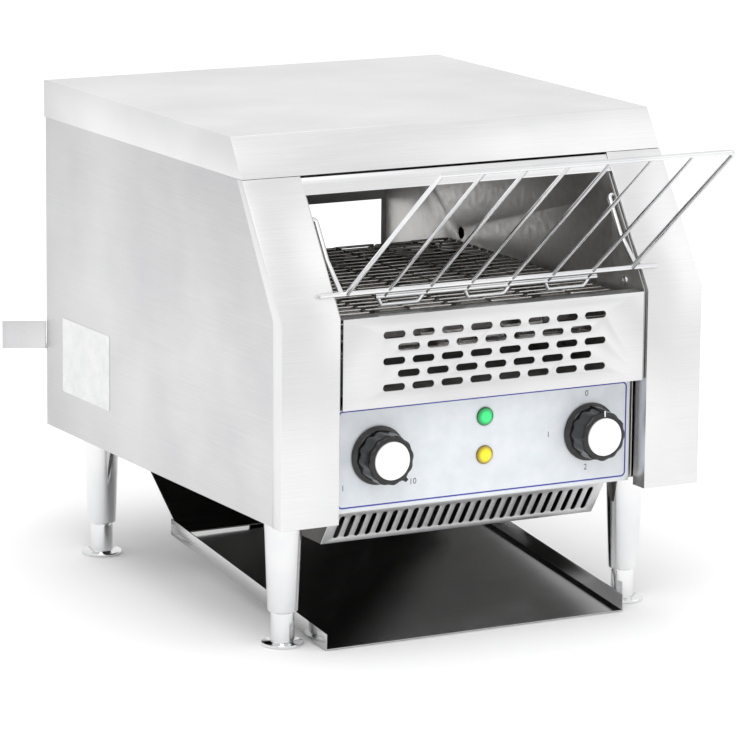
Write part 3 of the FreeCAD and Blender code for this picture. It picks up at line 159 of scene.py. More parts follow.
def brushed_steel(name, low, high, roughness, grain, relief=0.004, spread=0.08):
    """Sheet steel: grain lines, slow cloudiness, and roughness that follows both."""
    made, tree, shader, coords = new_material(name, {"Metallic": 1.0})
    lines = pattern(tree, coords, grain, 4.0)
    cloud = pattern(tree, coords, (0.012, 0.012, 0.012), 2.0)
    both = add_node(
        tree, "ShaderNodeMath", {"operation": "ADD", "use_clamp": False}, {0: lines, 1: cloud}
    )
    share = ranged(tree, both.outputs[0], 0.0, 1.0, 0.7, 1.3)
    tree.links.new(
        blend_colours(tree, share, low, high), shader.inputs["Base Color"]
    )
    tree.links.new(
        ranged(tree, lines, roughness - spread / 2, roughness + spread / 2),
        shader.inputs["Roughness"],
    )
    bump(tree, shader, lines, relief)
    return made


def moulded(name, low, high, roughness, relief=0.01, coat=0.0):
    """Moulded plastic or ceramic: a fine grain and a slightly uneven gloss."""
    made, tree, shader, coords = new_material(name, {"Coat Weight": coat})
    grain = pattern(tree, coords, (2.0, 2.0, 2.0), 2.0)
    cloud = pattern(tree, coords, (0.08, 0.08, 0.08), 2.0)
    tree.links.new(
        blend_colours(tree, ranged(tree, cloud, 0.0, 1.0), low, high),
        shader.inputs["Base Color"],
    )
    tree.links.new(
        ranged(tree, grain, roughness * 0.85, roughness * 1.15),
        shader.inputs["Roughness"],
    )
    bump(tree, shader, grain, relief)
    return made


def lens(name, rim, middle, glow, centre, radius):
    """Clear coloured plastic over a small light: dark at its rim and bright in the middle."""
    made, tree, shader, coords = new_material(
        name, {"Roughness": 0.12, "Coat Weight": 0.6}
    )
    off = add_node(
        tree,
        "ShaderNodeVectorMath",
        {"operation": "DISTANCE", 1: centre},
        {0: coords},
    )
    share = ranged(tree, off.outputs["Value"], 0.0, 1.0, radius * 0.45, radius)
    mixed = blend_colours(tree, share, middle, rim)
    tree.links.new(mixed, shader.inputs["Base Color"])
    tree.links.new(mixed, shader.inputs["Emission Color"])
    tree.links.new(
        ranged(tree, off.outputs["Value"], glow, glow * 0.15, 0.0, radius),
        shader.inputs["Emission Strength"],
    )
    facets = pattern(tree, coords, (0.9, 0.9, 0.9), 1.0)
    bump(tree, shader, facets, 0.05)
    return made


# Brushed stainless of the columns, the lid and the crossbar: bright, with fine lines across.
FRONT_STEEL = brushed_steel(
    "stainless steel, brushed", "#dadadb", "#e8e8e8", 0.34, (0.02, 1.6, 3.2)
)
# The side panels' steel: the same sheet as the front steel with painted shade, a shade greyer for
# the side that faces away from the light, its lines running front to back.
SIDE_STEEL_PAINTED_SHADE = brushed_steel(
    "stainless steel, side sheet, painted shade", "#c6c6c8", "#d6d6d6", 0.36, (3.2, 0.02, 3.2)
)
# Sheet of the toasting chamber: duller, mottled by heat.
CHAMBER_STEEL = brushed_steel(
    "aluminised steel sheet", "#b4b3b1", "#cfcdca", 0.42, (0.15, 0.15, 0.15), 0.01, 0.16
)
# Base sheet and control box: the same sheet as the chamber, darkened as painted shade for the
# shadow underneath the body.
BASE_STEEL_PAINTED_SHADE = brushed_steel(
    "aluminised steel sheet, painted shade", "#4c4b4a", "#62605e", 0.4, (0.15, 0.15, 0.15), 0.01, 0.16
)
# Slotted panel, fascia and grille: satin steel between the two columns.
PANEL_STEEL = brushed_steel(
    "stainless steel, satin panel", "#d2d2d3", "#e1e1e1", 0.36, (0.02, 1.6, 3.2)
)
# Polished steel of the legs, feet, screws and rack: sharp bright reflections.
POLISHED_STEEL = brushed_steel(
    "steel, polished and plated", "#d9dadc", "#ececec", 0.12, (0.02, 0.02, 0.02), 0.0002, 0.02
)
# Toast tray: a smooth sheet that mirrors the dark underside.
TRAY_STEEL = brushed_steel(
    "stainless steel, bright rolled", "#b4b4b5", "#c8c8c8", 0.16, (0.02, 1.2, 1.2), 0.001, 0.04
)
# Drop chute: stainless sheet darkened as a painted reflection of the dark underside of the body.
CHUTE_STEEL_PAINTED_REFLECTION = brushed_steel(
    "stainless steel, painted dark reflection", "#4a4948", "#65635f", 0.34, (0.02, 1.2, 1.2), 0.002, 0.1
)
# Belt wire: bright drawn steel that heat has tinted unevenly.
BELT_STEEL = brushed_steel(
    "steel wire, heat tinted", "#b3b0ac", "#dddbd8", 0.2, (0.35, 0.35, 0.35), 0.002, 0.1
)
# Shafts, sprockets, chain and bracket: plain oiled steel.
PLAIN_STEEL = brushed_steel(
    "steel, oiled", "#6e6d6b", "#94928f", 0.38, (0.3, 0.3, 0.3), 0.006, 0.16
)
# Sintered bushes: a warm dull metal with fine pores.
BRONZE = brushed_steel(
    "sintered bronze", "#8a6236", "#b1854c", 0.48, (1.4, 1.4, 1.4), 0.02, 0.16
)
MOTOR_METAL = brushed_steel(
    "zinc-plated motor case", "#9a9c9a", "#bfc1bd", 0.34, (0.2, 0.2, 0.2), 0.004, 0.14
)
# Knobs: glossy black with soft highlights.
KNOB_BLACK = moulded("black phenolic plastic", "#050506", "#0b0b0c", 0.2, 0.003, 0.2)
CAP_WHITE = moulded("white plastic cap", "#f2f2f2", "#fafafa", 0.34, 0.004, 0.1)
# Printed film of the control panel: pale and slightly blue, with a fine grain.
FILM = moulded("pale polyester film", "#dbe0e5", "#e4e8ec", 0.38, 0.006, 0.1)
INK_BLUE = moulded("dark blue ink", "#34389a", "#4347a8", 0.5, 0.002)
INK_GREY = moulded("grey ink", "#4a4e57", "#5a5e68", 0.5, 0.002)
PLATE = moulded("foil label, bare", "#d9dadb", "#e6e6e6", 0.3, 0.004)
DARK_PLASTIC = moulded("black nylon plastic", "#161617", "#232325", 0.5, 0.02)
PALE_PLASTIC = moulded("pale nylon plastic", "#cfcbbf", "#ddd9cd", 0.5, 0.02)
CERAMIC = moulded("unglazed ceramic", "#d3cbbd", "#e4ddd0", 0.7, 0.03)
QUARTZ = moulded("frosted quartz glass", "#b9b4ae", "#d4cfc8", 0.22, 0.004, 0.4)
LAMP_FRONT = 13.6
LAMP_GLOW = 0.3
LAMP_REACH = 0.0078
POWER_LAMP_Z = 67.7
HEAT_LAMP_Z = 37.6

GREEN_LENS = lens(
    "green lamp plastic", "#033d10", "#1fe67c", LAMP_GLOW,
    place(0, LAMP_FRONT, POWER_LAMP_Z), LAMP_REACH,
)
AMBER_LENS = lens(
    "amber lamp plastic", "#5a3a02", "#ffe600", LAMP_GLOW,
    place(0, LAMP_FRONT, HEAT_LAMP_Z), LAMP_REACH,
)

NODE_MATERIALS = {
    # Painted shade: the greyer copy of the front steel on the side panels, rear panel and rear
    # shelf.
    "side_panel_left": SIDE_STEEL_PAINTED_SHADE,
    "side_panel_right": SIDE_STEEL_PAINTED_SHADE,
    "front_column_left": FRONT_STEEL,
    "front_column_right": FRONT_STEEL,
    "lid": FRONT_STEEL,
    "crossbar": FRONT_STEEL,
    "vent_panel": PANEL_STEEL,
    "fascia": PANEL_STEEL,
    "intake_grille": PANEL_STEEL,
    # Painted shade: the darkened sheet on the control box and base plate.
    "control_box": BASE_STEEL_PAINTED_SHADE,
    "base_plate": BASE_STEEL_PAINTED_SHADE,
    "inner_wall_left": CHAMBER_STEEL,
    "inner_wall_right": CHAMBER_STEEL,
    "rear_panel": SIDE_STEEL_PAINTED_SHADE,
    "rear_shelf": SIDE_STEEL_PAINTED_SHADE,
    "upper_reflector": CHAMBER_STEEL,
    "lower_reflector": CHAMBER_STEEL,
    "heat_shield": CHAMBER_STEEL,
    "panel_screws": POLISHED_STEEL,
    "toast_tray": TRAY_STEEL,
    # Painted reflection: the dark steel on the drop chute.
    "drop_chute": CHUTE_STEEL_PAINTED_REFLECTION,
    "tray_hanger": PLAIN_STEEL,
    "belt_support": PLAIN_STEEL,
    "conveyor_belt": BELT_STEEL,
    "feed_rack": POLISHED_STEEL,
    "legs": POLISHED_STEEL,
    "foot_front_left": POLISHED_STEEL,
    "foot_front_right": POLISHED_STEEL,
    "foot_rear_left": POLISHED_STEEL,
    "foot_rear_right": POLISHED_STEEL,
    "drive_shaft": PLAIN_STEEL,
    "idler_shaft": PLAIN_STEEL,
    "motor_shaft": PLAIN_STEEL,
    "drive_belt_sprockets": PLAIN_STEEL,
    "idler_belt_sprockets": PLAIN_STEEL,
    "shaft_chain_sprocket": PLAIN_STEEL,
    "motor_sprocket": PLAIN_STEEL,
    "drive_chain": PLAIN_STEEL,
    "motor_bracket": MOTOR_METAL,
    "gear_motor": MOTOR_METAL,
    "shaft_bushes": BRONZE,
    "fan_frame": DARK_PLASTIC,
    "fan_impeller": DARK_PLASTIC,
    "speed_knob": KNOB_BLACK,
    "mode_knob": KNOB_BLACK,
    "speed_knob_cap": CAP_WHITE,
    "mode_knob_cap": CAP_WHITE,
    "speed_shaft": PLAIN_STEEL,
    "mode_shaft": PLAIN_STEEL,
    "speed_controller": DARK_PLASTIC,
    "mode_switch": DARK_PLASTIC,
    "cable_gland": DARK_PLASTIC,
    "terminal_block": PALE_PLASTIC,
    "safety_thermostat": PALE_PLASTIC,
    "fascia_overlay": FILM,
    "power_lamp": GREEN_LENS,
    "heat_lamp": AMBER_LENS,
    "upper_heaters": QUARTZ,
    "lower_heaters": QUARTZ,
    "heater_caps": CERAMIC,
}


def finish(piece, material):
    """One finished material over the whole piece."""
    if not piece.material_slots:
        piece.data.materials.append(material)
    for slot in piece.material_slots:
        slot.material = material


for node_name, node_object in frame["nodes"].items():
    finish(node_object, NODE_MATERIALS[node_name])


# Modelling steps


def only(*pieces):
    """Nothing else stays selected, and the first piece is the active one."""
    bpy.ops.object.select_all(action="DESELECT")
    for piece in pieces:
        piece.select_set(True)
    bpy.context.view_layer.objects.active = pieces[0]


def clear_selection():
    bpy.ops.object.select_all(action="DESELECT")


def settle(piece):
    """The piece's place goes into its mesh, and its object stays at the origin."""
    only(piece)
    bpy.ops.object.transform_apply(location=True, rotation=True, scale=True)
    return piece


def applied(piece, kind, settings):
    only(piece)
    modifier = piece.modifiers.new(kind.lower(), kind)
    for key, value in settings.items():
        setattr(modifier, key, value)
    bpy.ops.object.modifier_apply(modifier=modifier.name)


def smoothed(piece, degrees=35.0):
    only(piece)
    bpy.ops.object.shade_smooth_by_angle(angle=math.radians(degrees))


def merged(pieces, name):
    only(*pieces)
    if len(pieces) > 1:
        bpy.ops.object.join()
    pieces[0].name = name
    return pieces[0]


def copied(piece, matrix):
    """A copy with its own mesh, moved in its mesh."""
    copy = piece.copy()
    copy.data = piece.data.copy()
    copy.data.transform(matrix)
    bpy.context.collection.objects.link(copy)
    return copy


def select_where(piece, kind, test):
    """In edit mode, only those vertices, edges or faces that pass the test are selected."""
    bpy.ops.object.mode_set(mode="EDIT")
    bpy.ops.mesh.select_mode(type={"verts": "VERT", "edges": "EDGE", "faces": "FACE"}[kind])
    bpy.ops.mesh.select_all(action="DESELECT")
    bpy.ops.object.mode_set(mode="OBJECT")
    for item in getattr(
        piece.data, {"verts": "vertices", "edges": "edges", "faces": "polygons"}[kind]
    ):
        item.select = bool(test(item))
    bpy.ops.object.mode_set(mode="EDIT")


def block(name, low, high, rounding=0.0, steps=2, test=None):
    """A box between two corners, its edges or those that pass a test rounded over."""
    low, high = place(*low), place(*high)
    clear_selection()
    bpy.ops.mesh.primitive_cube_add(size=1.0, location=(low + high) / 2)
    piece = bpy.context.active_object
    piece.name = name
    piece.scale = high - low
    settle(piece)
    if rounding:
        points = piece.data.vertices
        select_where(
            piece,
            "edges",
            lambda e: test is None
            or test(points[e.vertices[0]].co, points[e.vertices[1]].co),
        )
        bpy.ops.mesh.bevel(
            offset=rounding / 1000.0, segments=steps, affect="EDGES", clamp_overlap=True
        )
        bpy.ops.object.mode_set(mode="OBJECT")
    return piece


def turned(name, rings, where, axis="Z", sides=48):
    """A lathed piece: a disc drawn out ring by ring. Rings are (radius, distance along)."""
    clear_selection()
    radius, start = rings[0]
    bpy.ops.mesh.primitive_circle_add(
        vertices=sides, radius=radius / 1000.0, fill_type="NGON", location=(0, 0, 0)
    )
    piece = bpy.context.active_object
    piece.name = name
    bpy.ops.object.mode_set(mode="EDIT")
    bpy.ops.mesh.select_all(action="SELECT")
    at = start
    for wide, along in rings[1:]:
        bpy.ops.mesh.extrude_region_move(
            TRANSFORM_OT_translate={"value": (0, 0, (along - at) / 1000.0)}
        )
        share = wide / radius
        bpy.ops.transform.resize(
            value=(share, share, 1.0), center_override=(0, 0, (along - start) / 1000.0)
        )
        radius, at = wide, along
    bpy.ops.mesh.select_all(action="SELECT")
    bpy.ops.mesh.normals_make_consistent(inside=False)
    bpy.ops.object.mode_set(mode="OBJECT")
    turns = {
        "Z": Matrix.Identity(4),
        "-Y": Matrix.Rotation(math.radians(90), 4, "X"),
        "Y": Matrix.Rotation(math.radians(-90), 4, "X"),
        "X": Matrix.Rotation(math.radians(90), 4, "Y"),
        "-X": Matrix.Rotation(math.radians(-90), 4, "Y"),
    }
    shift = Matrix.Translation((0, 0, start / 1000.0))
    piece.data.transform(
        Matrix.Translation(place(*where)) @ turns[axis] @ shift
    )
    return piece


def bent_wire(name, points, radius, bend=0.0, roundness=2, steps=4):
    """A wire along straight runs, its corners bent to a radius, with closed ends."""
    path = [place(*p) for p in points]
    clear_selection()
    bpy.ops.mesh.primitive_plane_add(size=0.001, location=path[0])
    piece = bpy.context.active_object
    piece.name = name
    bpy.ops.object.mode_set(mode="EDIT")
    bpy.ops.mesh.select_mode(type="VERT")
    bpy.ops.mesh.select_all(action="SELECT")
    bpy.ops.mesh.merge(type="CENTER")
    for a, b in zip(path, path[1:]):
        bpy.ops.mesh.extrude_region_move(TRANSFORM_OT_translate={"value": b - a})
    bpy.ops.object.mode_set(mode="OBJECT")
    if bend and len(path) > 2:
        ends = (0, len(piece.data.vertices) - 1)
        select_where(piece, "verts", lambda v: v.index not in ends)
        bpy.ops.mesh.bevel(
            offset=bend / 1000.0, segments=steps, affect="VERTICES", clamp_overlap=True
        )
        bpy.ops.object.mode_set(mode="OBJECT")
    only(piece)
    bpy.ops.object.convert(target="CURVE")
    piece = bpy.context.active_object
    piece.data.bevel_depth = radius / 1000.0
    piece.data.bevel_resolution = roundness
    piece.data.use_fill_caps = True
    bpy.ops.object.convert(target="MESH")
    piece = bpy.context.active_object
    settle(piece)
    bpy.ops.object.mode_set(mode="EDIT")
    bpy.ops.mesh.select_all(action="SELECT")
    bpy.ops.mesh.remove_doubles(threshold=0.000001)
    bpy.ops.mesh.normals_make_consistent(inside=False)
    bpy.ops.object.mode_set(mode="OBJECT")
    smoothed(piece, 50.0)
    return piece


def cut_out(piece, cutters):
    """The cutters' shapes are taken out of the piece."""
    cutter = merged(cutters, "cutter")
    applied(
        piece, "BOOLEAN", {"operation": "DIFFERENCE", "object": cutter, "solver": "EXACT"}
    )
    bpy.data.objects.remove(cutter, do_unlink=True)


def rounded(piece, width, degrees=40.0, steps=2):
    """The sharp edges of sheet and moulded pieces are broken by a small round."""
    applied(
        piece,
        "BEVEL",
        {
            "width": width / 1000.0,
            "segments": steps,
            "limit_method": "ANGLE",
            "angle_limit": math.radians(degrees),
            "use_clamp_overlap": True,
        },
    )
    smoothed(piece)


def placed(piece, material, body, nodes=()):
    """The piece's finish, the body it moves with and the nodes that it stands for."""
    finish(piece, material)
    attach(piece, body)
    if nodes:
        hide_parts(*nodes)
    return piece


def softened(node, width, body="casing"):
    """A sheet piece from its node's own shape, with its flat faces whole and its edges broken."""
    source = frame["nodes"][node]
    piece = source.copy()
    piece.data = source.data.copy()
    world = source.matrix_world.copy()
    piece.parent = None
    piece.matrix_world = world
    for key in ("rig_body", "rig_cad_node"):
        if key in piece:
            del piece[key]
    piece.name = node + "_sheet"
    bpy.context.collection.objects.link(piece)
    settle(piece)
    bpy.ops.object.mode_set(mode="EDIT")
    bpy.ops.mesh.select_all(action="SELECT")
    bpy.ops.mesh.remove_doubles(threshold=0.000002)
    bpy.ops.mesh.dissolve_limited(angle_limit=math.radians(0.5))
    bpy.ops.mesh.normals_make_consistent(inside=False)
    bpy.ops.object.mode_set(mode="OBJECT")
    rounded(piece, width)
    return placed(piece, NODE_MATERIALS[node], body, (node,))


# Body sheets, with their edges broken

for node_name in (
    "lid",
    "front_column_left",
    "front_column_right",
    "side_panel_left",
    "side_panel_right",
    "crossbar",
    "rear_panel",
    "rear_shelf",
    "fascia",
):
    softened(node_name, 0.3)
for node_name in ("control_box", "inner_wall_left", "inner_wall_right"):
    softened(node_name, 0.2)
softened("drop_chute", 0.25)
softened("toast_tray", 0.25, "tray")


# Slotted panel over the control fascia

VENT_HALF = 131.8
VENT_BOTTOM = 86.7
VENT_TOP = 156.5
VENT_FACE = 1.2
VENT_DEPTH = 18.0
VENT_TOP_END = 15.2
CUT_REACH = 19.0
SLOT_LENGTH = 18.8
SLOT_HEIGHT = 5.4
SLOT_STEP = 25.2
SLOT_ROW_STEP = 10.1
SLOT_ROWS = 5
SLOTS_LONG_ROW = 8


def upright(a, b):
    """True for an edge that runs front to back."""
    return abs(a.y - b.y) > 0.9 * (a - b).length


def stadium(x, z, width, height, y0, y1):
    """A cutter for a slot with round ends, through a sheet from front to back."""
    return block(
        "slot",
        (x - width / 2, y0, z - height / 2),
        (x + width / 2, y1, z + height / 2),
        min(width, height) / 2 - 0.01,
        6,
        upright,
    )


vent = block(
    "vent_sheet", (-VENT_HALF, VENT_FACE, VENT_BOTTOM), (VENT_HALF, VENT_DEPTH, VENT_TOP)
)
cut_out(
    vent,
    [
        block(
            "behind",
            (-VENT_HALF - 1, VENT_FACE + SHEET, VENT_BOTTOM + SHEET),
            (VENT_HALF + 1, CUT_REACH, VENT_TOP - SHEET),
        )
    ],
)
cut_out(
    vent,
    [
        block(
            "top_end",
            (-VENT_HALF - 1, VENT_TOP_END, VENT_TOP - 2.0),
            (VENT_HALF + 1, CUT_REACH, VENT_TOP + 1.0),
        )
    ],
)
slot_model = stadium(0, 0, SLOT_LENGTH, SLOT_HEIGHT, -2.0, 5.0)
slots = []
for row in range(SLOT_ROWS):
    count = SLOTS_LONG_ROW - row % 2
    for column in range(count):
        x = (column - (count - 1) / 2) * SLOT_STEP
        z = (VENT_BOTTOM + VENT_TOP) / 2 + (SLOT_ROWS // 2 - row) * SLOT_ROW_STEP
        slots.append(copied(slot_model, Matrix.Translation(Vector((x, 0, z)) / 1000)))
bpy.data.objects.remove(slot_model, do_unlink=True)
cut_out(vent, slots)
rounded(vent, 0.2)
placed(vent, PANEL_STEEL, "casing", ("vent_panel",))


# Intake grille under the fascia: a slanted sheet with upright slots

BOX_HALF = 120.8
GRILLE_TOP = 4.0
GRILLE_LOW = -28.4
GRILLE_LOW_Y = 54.8
GRILLE_SLOPE = 0.68
GRILLE_SLOTS = 25
GRILLE_SLOT_STEP = 0.0092
GRILLE_THICK = SHEET * math.hypot(1.0, GRILLE_SLOPE)


def grille_y(z):
    return GRILLE_LOW_Y - GRILLE_SLOPE * (z - GRILLE_LOW)


grille = block(
    "grille_sheet",
    (-BOX_HALF, GRILLE_LOW_Y, GRILLE_LOW),
    (BOX_HALF, GRILLE_LOW_Y + GRILLE_THICK, GRILLE_TOP),
)
top_z = place(0, 0, GRILLE_TOP).z
select_where(grille, "verts", lambda v: v.co.z > top_z - 0.001)
bpy.ops.transform.translate(
    value=(0, (grille_y(GRILLE_TOP) - GRILLE_LOW_Y) / 1000.0, 0)
)
bpy.ops.object.mode_set(mode="OBJECT")
slot_model = stadium(0, -14.0, 4.4, 20.0, 20.0, 66.0)
slots = [
    copied(slot_model, Matrix.Translation(((index - GRILLE_SLOTS // 2) * GRILLE_SLOT_STEP, 0, 0)))
    for index in range(GRILLE_SLOTS)
]
bpy.data.objects.remove(slot_model, do_unlink=True)
cut_out(grille, slots)
rounded(grille, 0.2)
placed(grille, PANEL_STEEL, "casing", ("intake_grille",))


# Control panel: border line, plain numbers, lamps and knobs

OVERLAY_FACE = 16.6
OVERLAY_HALF = 130.0
OVERLAY_LOW = 5.0
OVERLAY_HIGH = 85.7
BORDER_INSET = 2.5
BORDER_WIDTH = 1.2
PRINT_THICKNESS = 0.03

clear_selection()
bpy.ops.mesh.primitive_plane_add(
    size=1.0,
    location=place(0, OVERLAY_FACE, (OVERLAY_LOW + OVERLAY_HIGH) / 2),
    rotation=(math.radians(90), 0, 0),
)
border = bpy.context.active_object
border.name = "border_line"
border.scale = (
    (OVERLAY_HALF - BORDER_INSET) * 2 / 1000,
    (OVERLAY_HIGH - OVERLAY_LOW - 2 * BORDER_INSET) / 1000,
    1.0,
)
settle(border)
bpy.ops.object.mode_set(mode="EDIT")
bpy.ops.mesh.select_mode(type="VERT")
bpy.ops.mesh.select_all(action="SELECT")
bpy.ops.mesh.bevel(offset=0.004, segments=8, affect="VERTICES")
bpy.ops.object.mode_set(mode="OBJECT")
select_where(border, "faces", lambda f: True)
bpy.ops.mesh.inset(thickness=BORDER_WIDTH / 1000.0, depth=0)
bpy.ops.mesh.delete(type="FACE")
bpy.ops.object.mode_set(mode="OBJECT")
applied(
    border,
    "SOLIDIFY",
    {"thickness": PRINT_THICKNESS / 1000.0, "offset": 1.0},
)
placed(border, INK_BLUE, "casing", ())


def printed(text, x, z, size):
    """A plain number printed on the film."""
    clear_selection()
    bpy.ops.object.text_add(
        location=place(x, OVERLAY_FACE, z), rotation=(math.radians(90), 0, 0)
    )
    piece = bpy.context.active_object
    piece.data.body = text
    piece.data.size = size / 1000.0
    piece.data.align_x = "CENTER"
    piece.data.align_y = "CENTER"
    piece.data.extrude = PRINT_THICKNESS / 2000.0
    bpy.ops.object.convert(target="MESH")
    piece = bpy.context.active_object
    settle(piece)
    piece.data.transform(Matrix.Translation((0, -PRINT_THICKNESS / 2000.0, 0)))
    return piece


numbers = [
    printed("1", -123.0, 23.5, 6.5),
    printed("10", -62.5, 23.0, 6.5),
    printed("0", 91.0, 77.0, 6.5),
    printed("1", 57.0, 47.5, 6.5),
    printed("2", 91.0, 18.5, 6.5),
    printed("3", 124.0, 48.0, 6.5),
]
placed(merged(numbers, "dial_numbers"), INK_GREY, "casing", ())

LAMP_RINGS = [
    (4.4, -8.0), (4.5, -0.2), (7.2, 0.0), (7.4, 0.3), (7.3, 0.9), (6.9, 1.4), (6.2, 1.7),
    (5.6, 2.1), (4.6, 2.55), (3.2, 2.8), (1.6, 2.95), (0.4, 3.0),
]
for name, z, material, slot in (
    ("power_lamp", POWER_LAMP_Z, GREEN_LENS, "green_lens"),
    ("heat_lamp", HEAT_LAMP_Z, AMBER_LENS, "amber_lens"),
):
    lamp = turned(name + "_lens", LAMP_RINGS, (0, OVERLAY_FACE, z), "-Y", 40)
    holder = block(
        name + "_holder", (-4.5, OVERLAY_FACE, z - 4.5), (4.5, OVERLAY_FACE + 18.0, z + 4.5), 0.4
    )
    lamp = merged([lamp, holder], name + "_lens")
    smoothed(lamp, 40.0)
    placed(lamp, material, "casing", (name,))

KNOB_FRONT = 15.8
KNOB_X = 93.5
KNOB_Z = 46.8
SPEED_REST_ANGLE = 142.0
FLUTES = 12
SIDES_PER_FLUTE = 8
FLUTE_SHARES = {0: 0.955, 1: 0.965, 2: 0.98, 3: 0.995}


def make_knob(name, x, angle, body, line):
    """A skirt, a fluted grip with a pointer rib, a white line if asked for, and a white cap."""
    z = KNOB_Z
    skirt = turned(
        "skirt",
        [(2.0, 0.0), (22.4, 0.0), (22.9, 0.3), (23.0, 1.0), (22.7, 2.0), (21.6, 2.8),
         (20.4, 3.2), (19.6, 4.0), (10.0, 4.0)],
        (x, KNOB_FRONT, z), "-Y", 96,
    )
    grip = turned(
        "grip",
        [(10.0, 2.6), (20.0, 2.6), (20.0, 4.0), (19.9, 10.0), (19.6, 19.5), (19.3, 21.4),
         (18.4, 22.5), (17.0, 23.0), (15.4, 23.0), (15.0, 22.7), (14.9, 21.5), (8.0, 21.5)],
        (0, 0, 0), "-Y", FLUTES * SIDES_PER_FLUTE,
    )
    grip.data.transform(Matrix.Translation(-place(0, 0, 0)))
    for step, share in FLUTE_SHARES.items():

        def in_flute(v):
            if math.hypot(v.co.x, v.co.z) < 0.0165:
                return False
            turn = math.atan2(v.co.x, v.co.z) / (2 * math.pi) * FLUTES * SIDES_PER_FLUTE
            near = (round(turn) - SIDES_PER_FLUTE // 2) % SIDES_PER_FLUTE
            return min(near, SIDES_PER_FLUTE - near) == step

        select_where(grip, "verts", in_flute)
        bpy.ops.transform.resize(value=(share, 1.0, share), center_override=(0, 0, 0))
        bpy.ops.object.mode_set(mode="OBJECT")
    rib = block("rib", (-1.5, -22.6, 16.6), (1.5, -3.0, 21.4), 0.5, 3)
    parts = [grip, rib]
    if line:
        tick = block("tick", (-0.5, -23.05, 15.8), (0.5, -22.5, 20.6), 0.1, 2)
        parts.append(tick)
    for part in parts[1:]:
        part.data.transform(Matrix.Translation(-place(0, 0, 0)))
    turn = Matrix.Translation(place(x, KNOB_FRONT, z)) @ Matrix.Rotation(
        math.radians(angle), 4, "Y"
    )
    for part in parts:
        part.data.transform(turn)
    knob = merged([skirt, grip, rib], name + "_knob_body")
    smoothed(knob, 32.0)
    placed(knob, KNOB_BLACK, body, (name + "_knob",))
    if line:
        smoothed(tick, 32.0)
        placed(tick, CAP_WHITE, body, ())
        tick.name = name + "_pointer_line"
    cap = turned(
        name + "_cap_disc",
        [(14.0, 21.0), (14.5, 21.0), (14.8, 21.3), (14.8, 23.2), (14.6, 23.7), (14.1, 23.9),
         (12.0, 23.97), (6.0, 24.0), (1.0, 24.0)],
        (x, KNOB_FRONT, z), "-Y", 72,
    )
    smoothed(cap, 45.0)
    placed(cap, CAP_WHITE, body, (name + "_knob_cap",))


make_knob("speed", -KNOB_X, SPEED_REST_ANGLE, "speed_control", False)
make_knob("mode", KNOB_X, 0.0, "mode_control", True)


# Feed rack of bent round wires

ROD = 2.0
WIRE = 1.6
ROD_Z = 174.6
ROD_Y = (ROD_Z - SLANT_START) * SLANT_GRADIENT - (ROD + 0.3) * math.hypot(1.0, SLANT_GRADIENT)
TOP_Z = 285.0
RACK_HALF = 125.0
RACK_PANES = 7
MAIN_ROD_HALF = 147.5
STOP_ROD_HALF = 97.0
HOOK_X = 129.3
HOOK_KNEE = (32.9, 196.2)
HOOK_PIN = (51.9, 224.5)
HOOK_PIN_END = 134.7
LOOP_PLACES = (-75.0, 0.0, 71.0)
TOP_Y = ROD_Y - 140.5
along = Vector((TOP_Y - ROD_Y, TOP_Z - ROD_Z)).normalized()
STOP_Y = ROD_Y - along.x * 9.0
STOP_Z = ROD_Z - along.y * 9.0
rack = [
    bent_wire(
        "main_rod", [(-MAIN_ROD_HALF, ROD_Y, ROD_Z), (MAIN_ROD_HALF, ROD_Y, ROD_Z)], ROD, 0, 4
    ),
    bent_wire(
        "frame_rod",
        [(-RACK_HALF, ROD_Y, ROD_Z), (-RACK_HALF, TOP_Y, TOP_Z),
         (RACK_HALF, TOP_Y, TOP_Z), (RACK_HALF, ROD_Y, ROD_Z)],
        ROD, 6.0, 4, 6,
    ),
    bent_wire(
        "stop_rod", [(-STOP_ROD_HALF, STOP_Y, STOP_Z), (STOP_ROD_HALF, STOP_Y, STOP_Z)], ROD, 0, 4
    ),
]
for index in range(1, RACK_PANES):
    x = -RACK_HALF + index * 2 * RACK_HALF / RACK_PANES
    rack.append(bent_wire("wire", [(x, STOP_Y, STOP_Z), (x, TOP_Y, TOP_Z)], WIRE, 0, 3))
for side in (-1, 1):
    x = side * HOOK_X
    rack.append(
        bent_wire(
            "hook",
            [(x, ROD_Y, ROD_Z), (x, *HOOK_KNEE), (x, *HOOK_PIN),
             (side * HOOK_PIN_END, *HOOK_PIN)],
            ROD, 3.0, 4, 5,
        )
    )
for x in LOOP_PLACES:
    rack.append(
        bent_wire(
            "loop",
            [(x - 20, STOP_Y, STOP_Z), (x - 16, STOP_Y + 2, STOP_Z - 7),
             (x + 16, STOP_Y + 2, STOP_Z - 7), (x + 20, STOP_Y, STOP_Z)],
            WIRE, 1.5, 3, 3,
        )
    )
placed(merged(rack, "wire_rack"), POLISHED_STEEL, "rack", ("feed_rack",))


# Wire belt: one bent strand, copied round both runs and both turns

BELT_HALF = 124.0
BELT_SPAN = 250.0
BELT_SPACES = 7
PITCH = 12.7
LINK_STEP = 10.2
TOP_RUN = 152.0
TEETH = 8
RUN_LINKS = 20
IDLER_Y = 39.0
DRIVE_Y = IDLER_Y + RUN_LINKS * PITCH
BELT_RADIUS = PITCH / (2 * math.sin(math.pi / TEETH))
SHAFT_Z = TOP_RUN - BELT_RADIUS

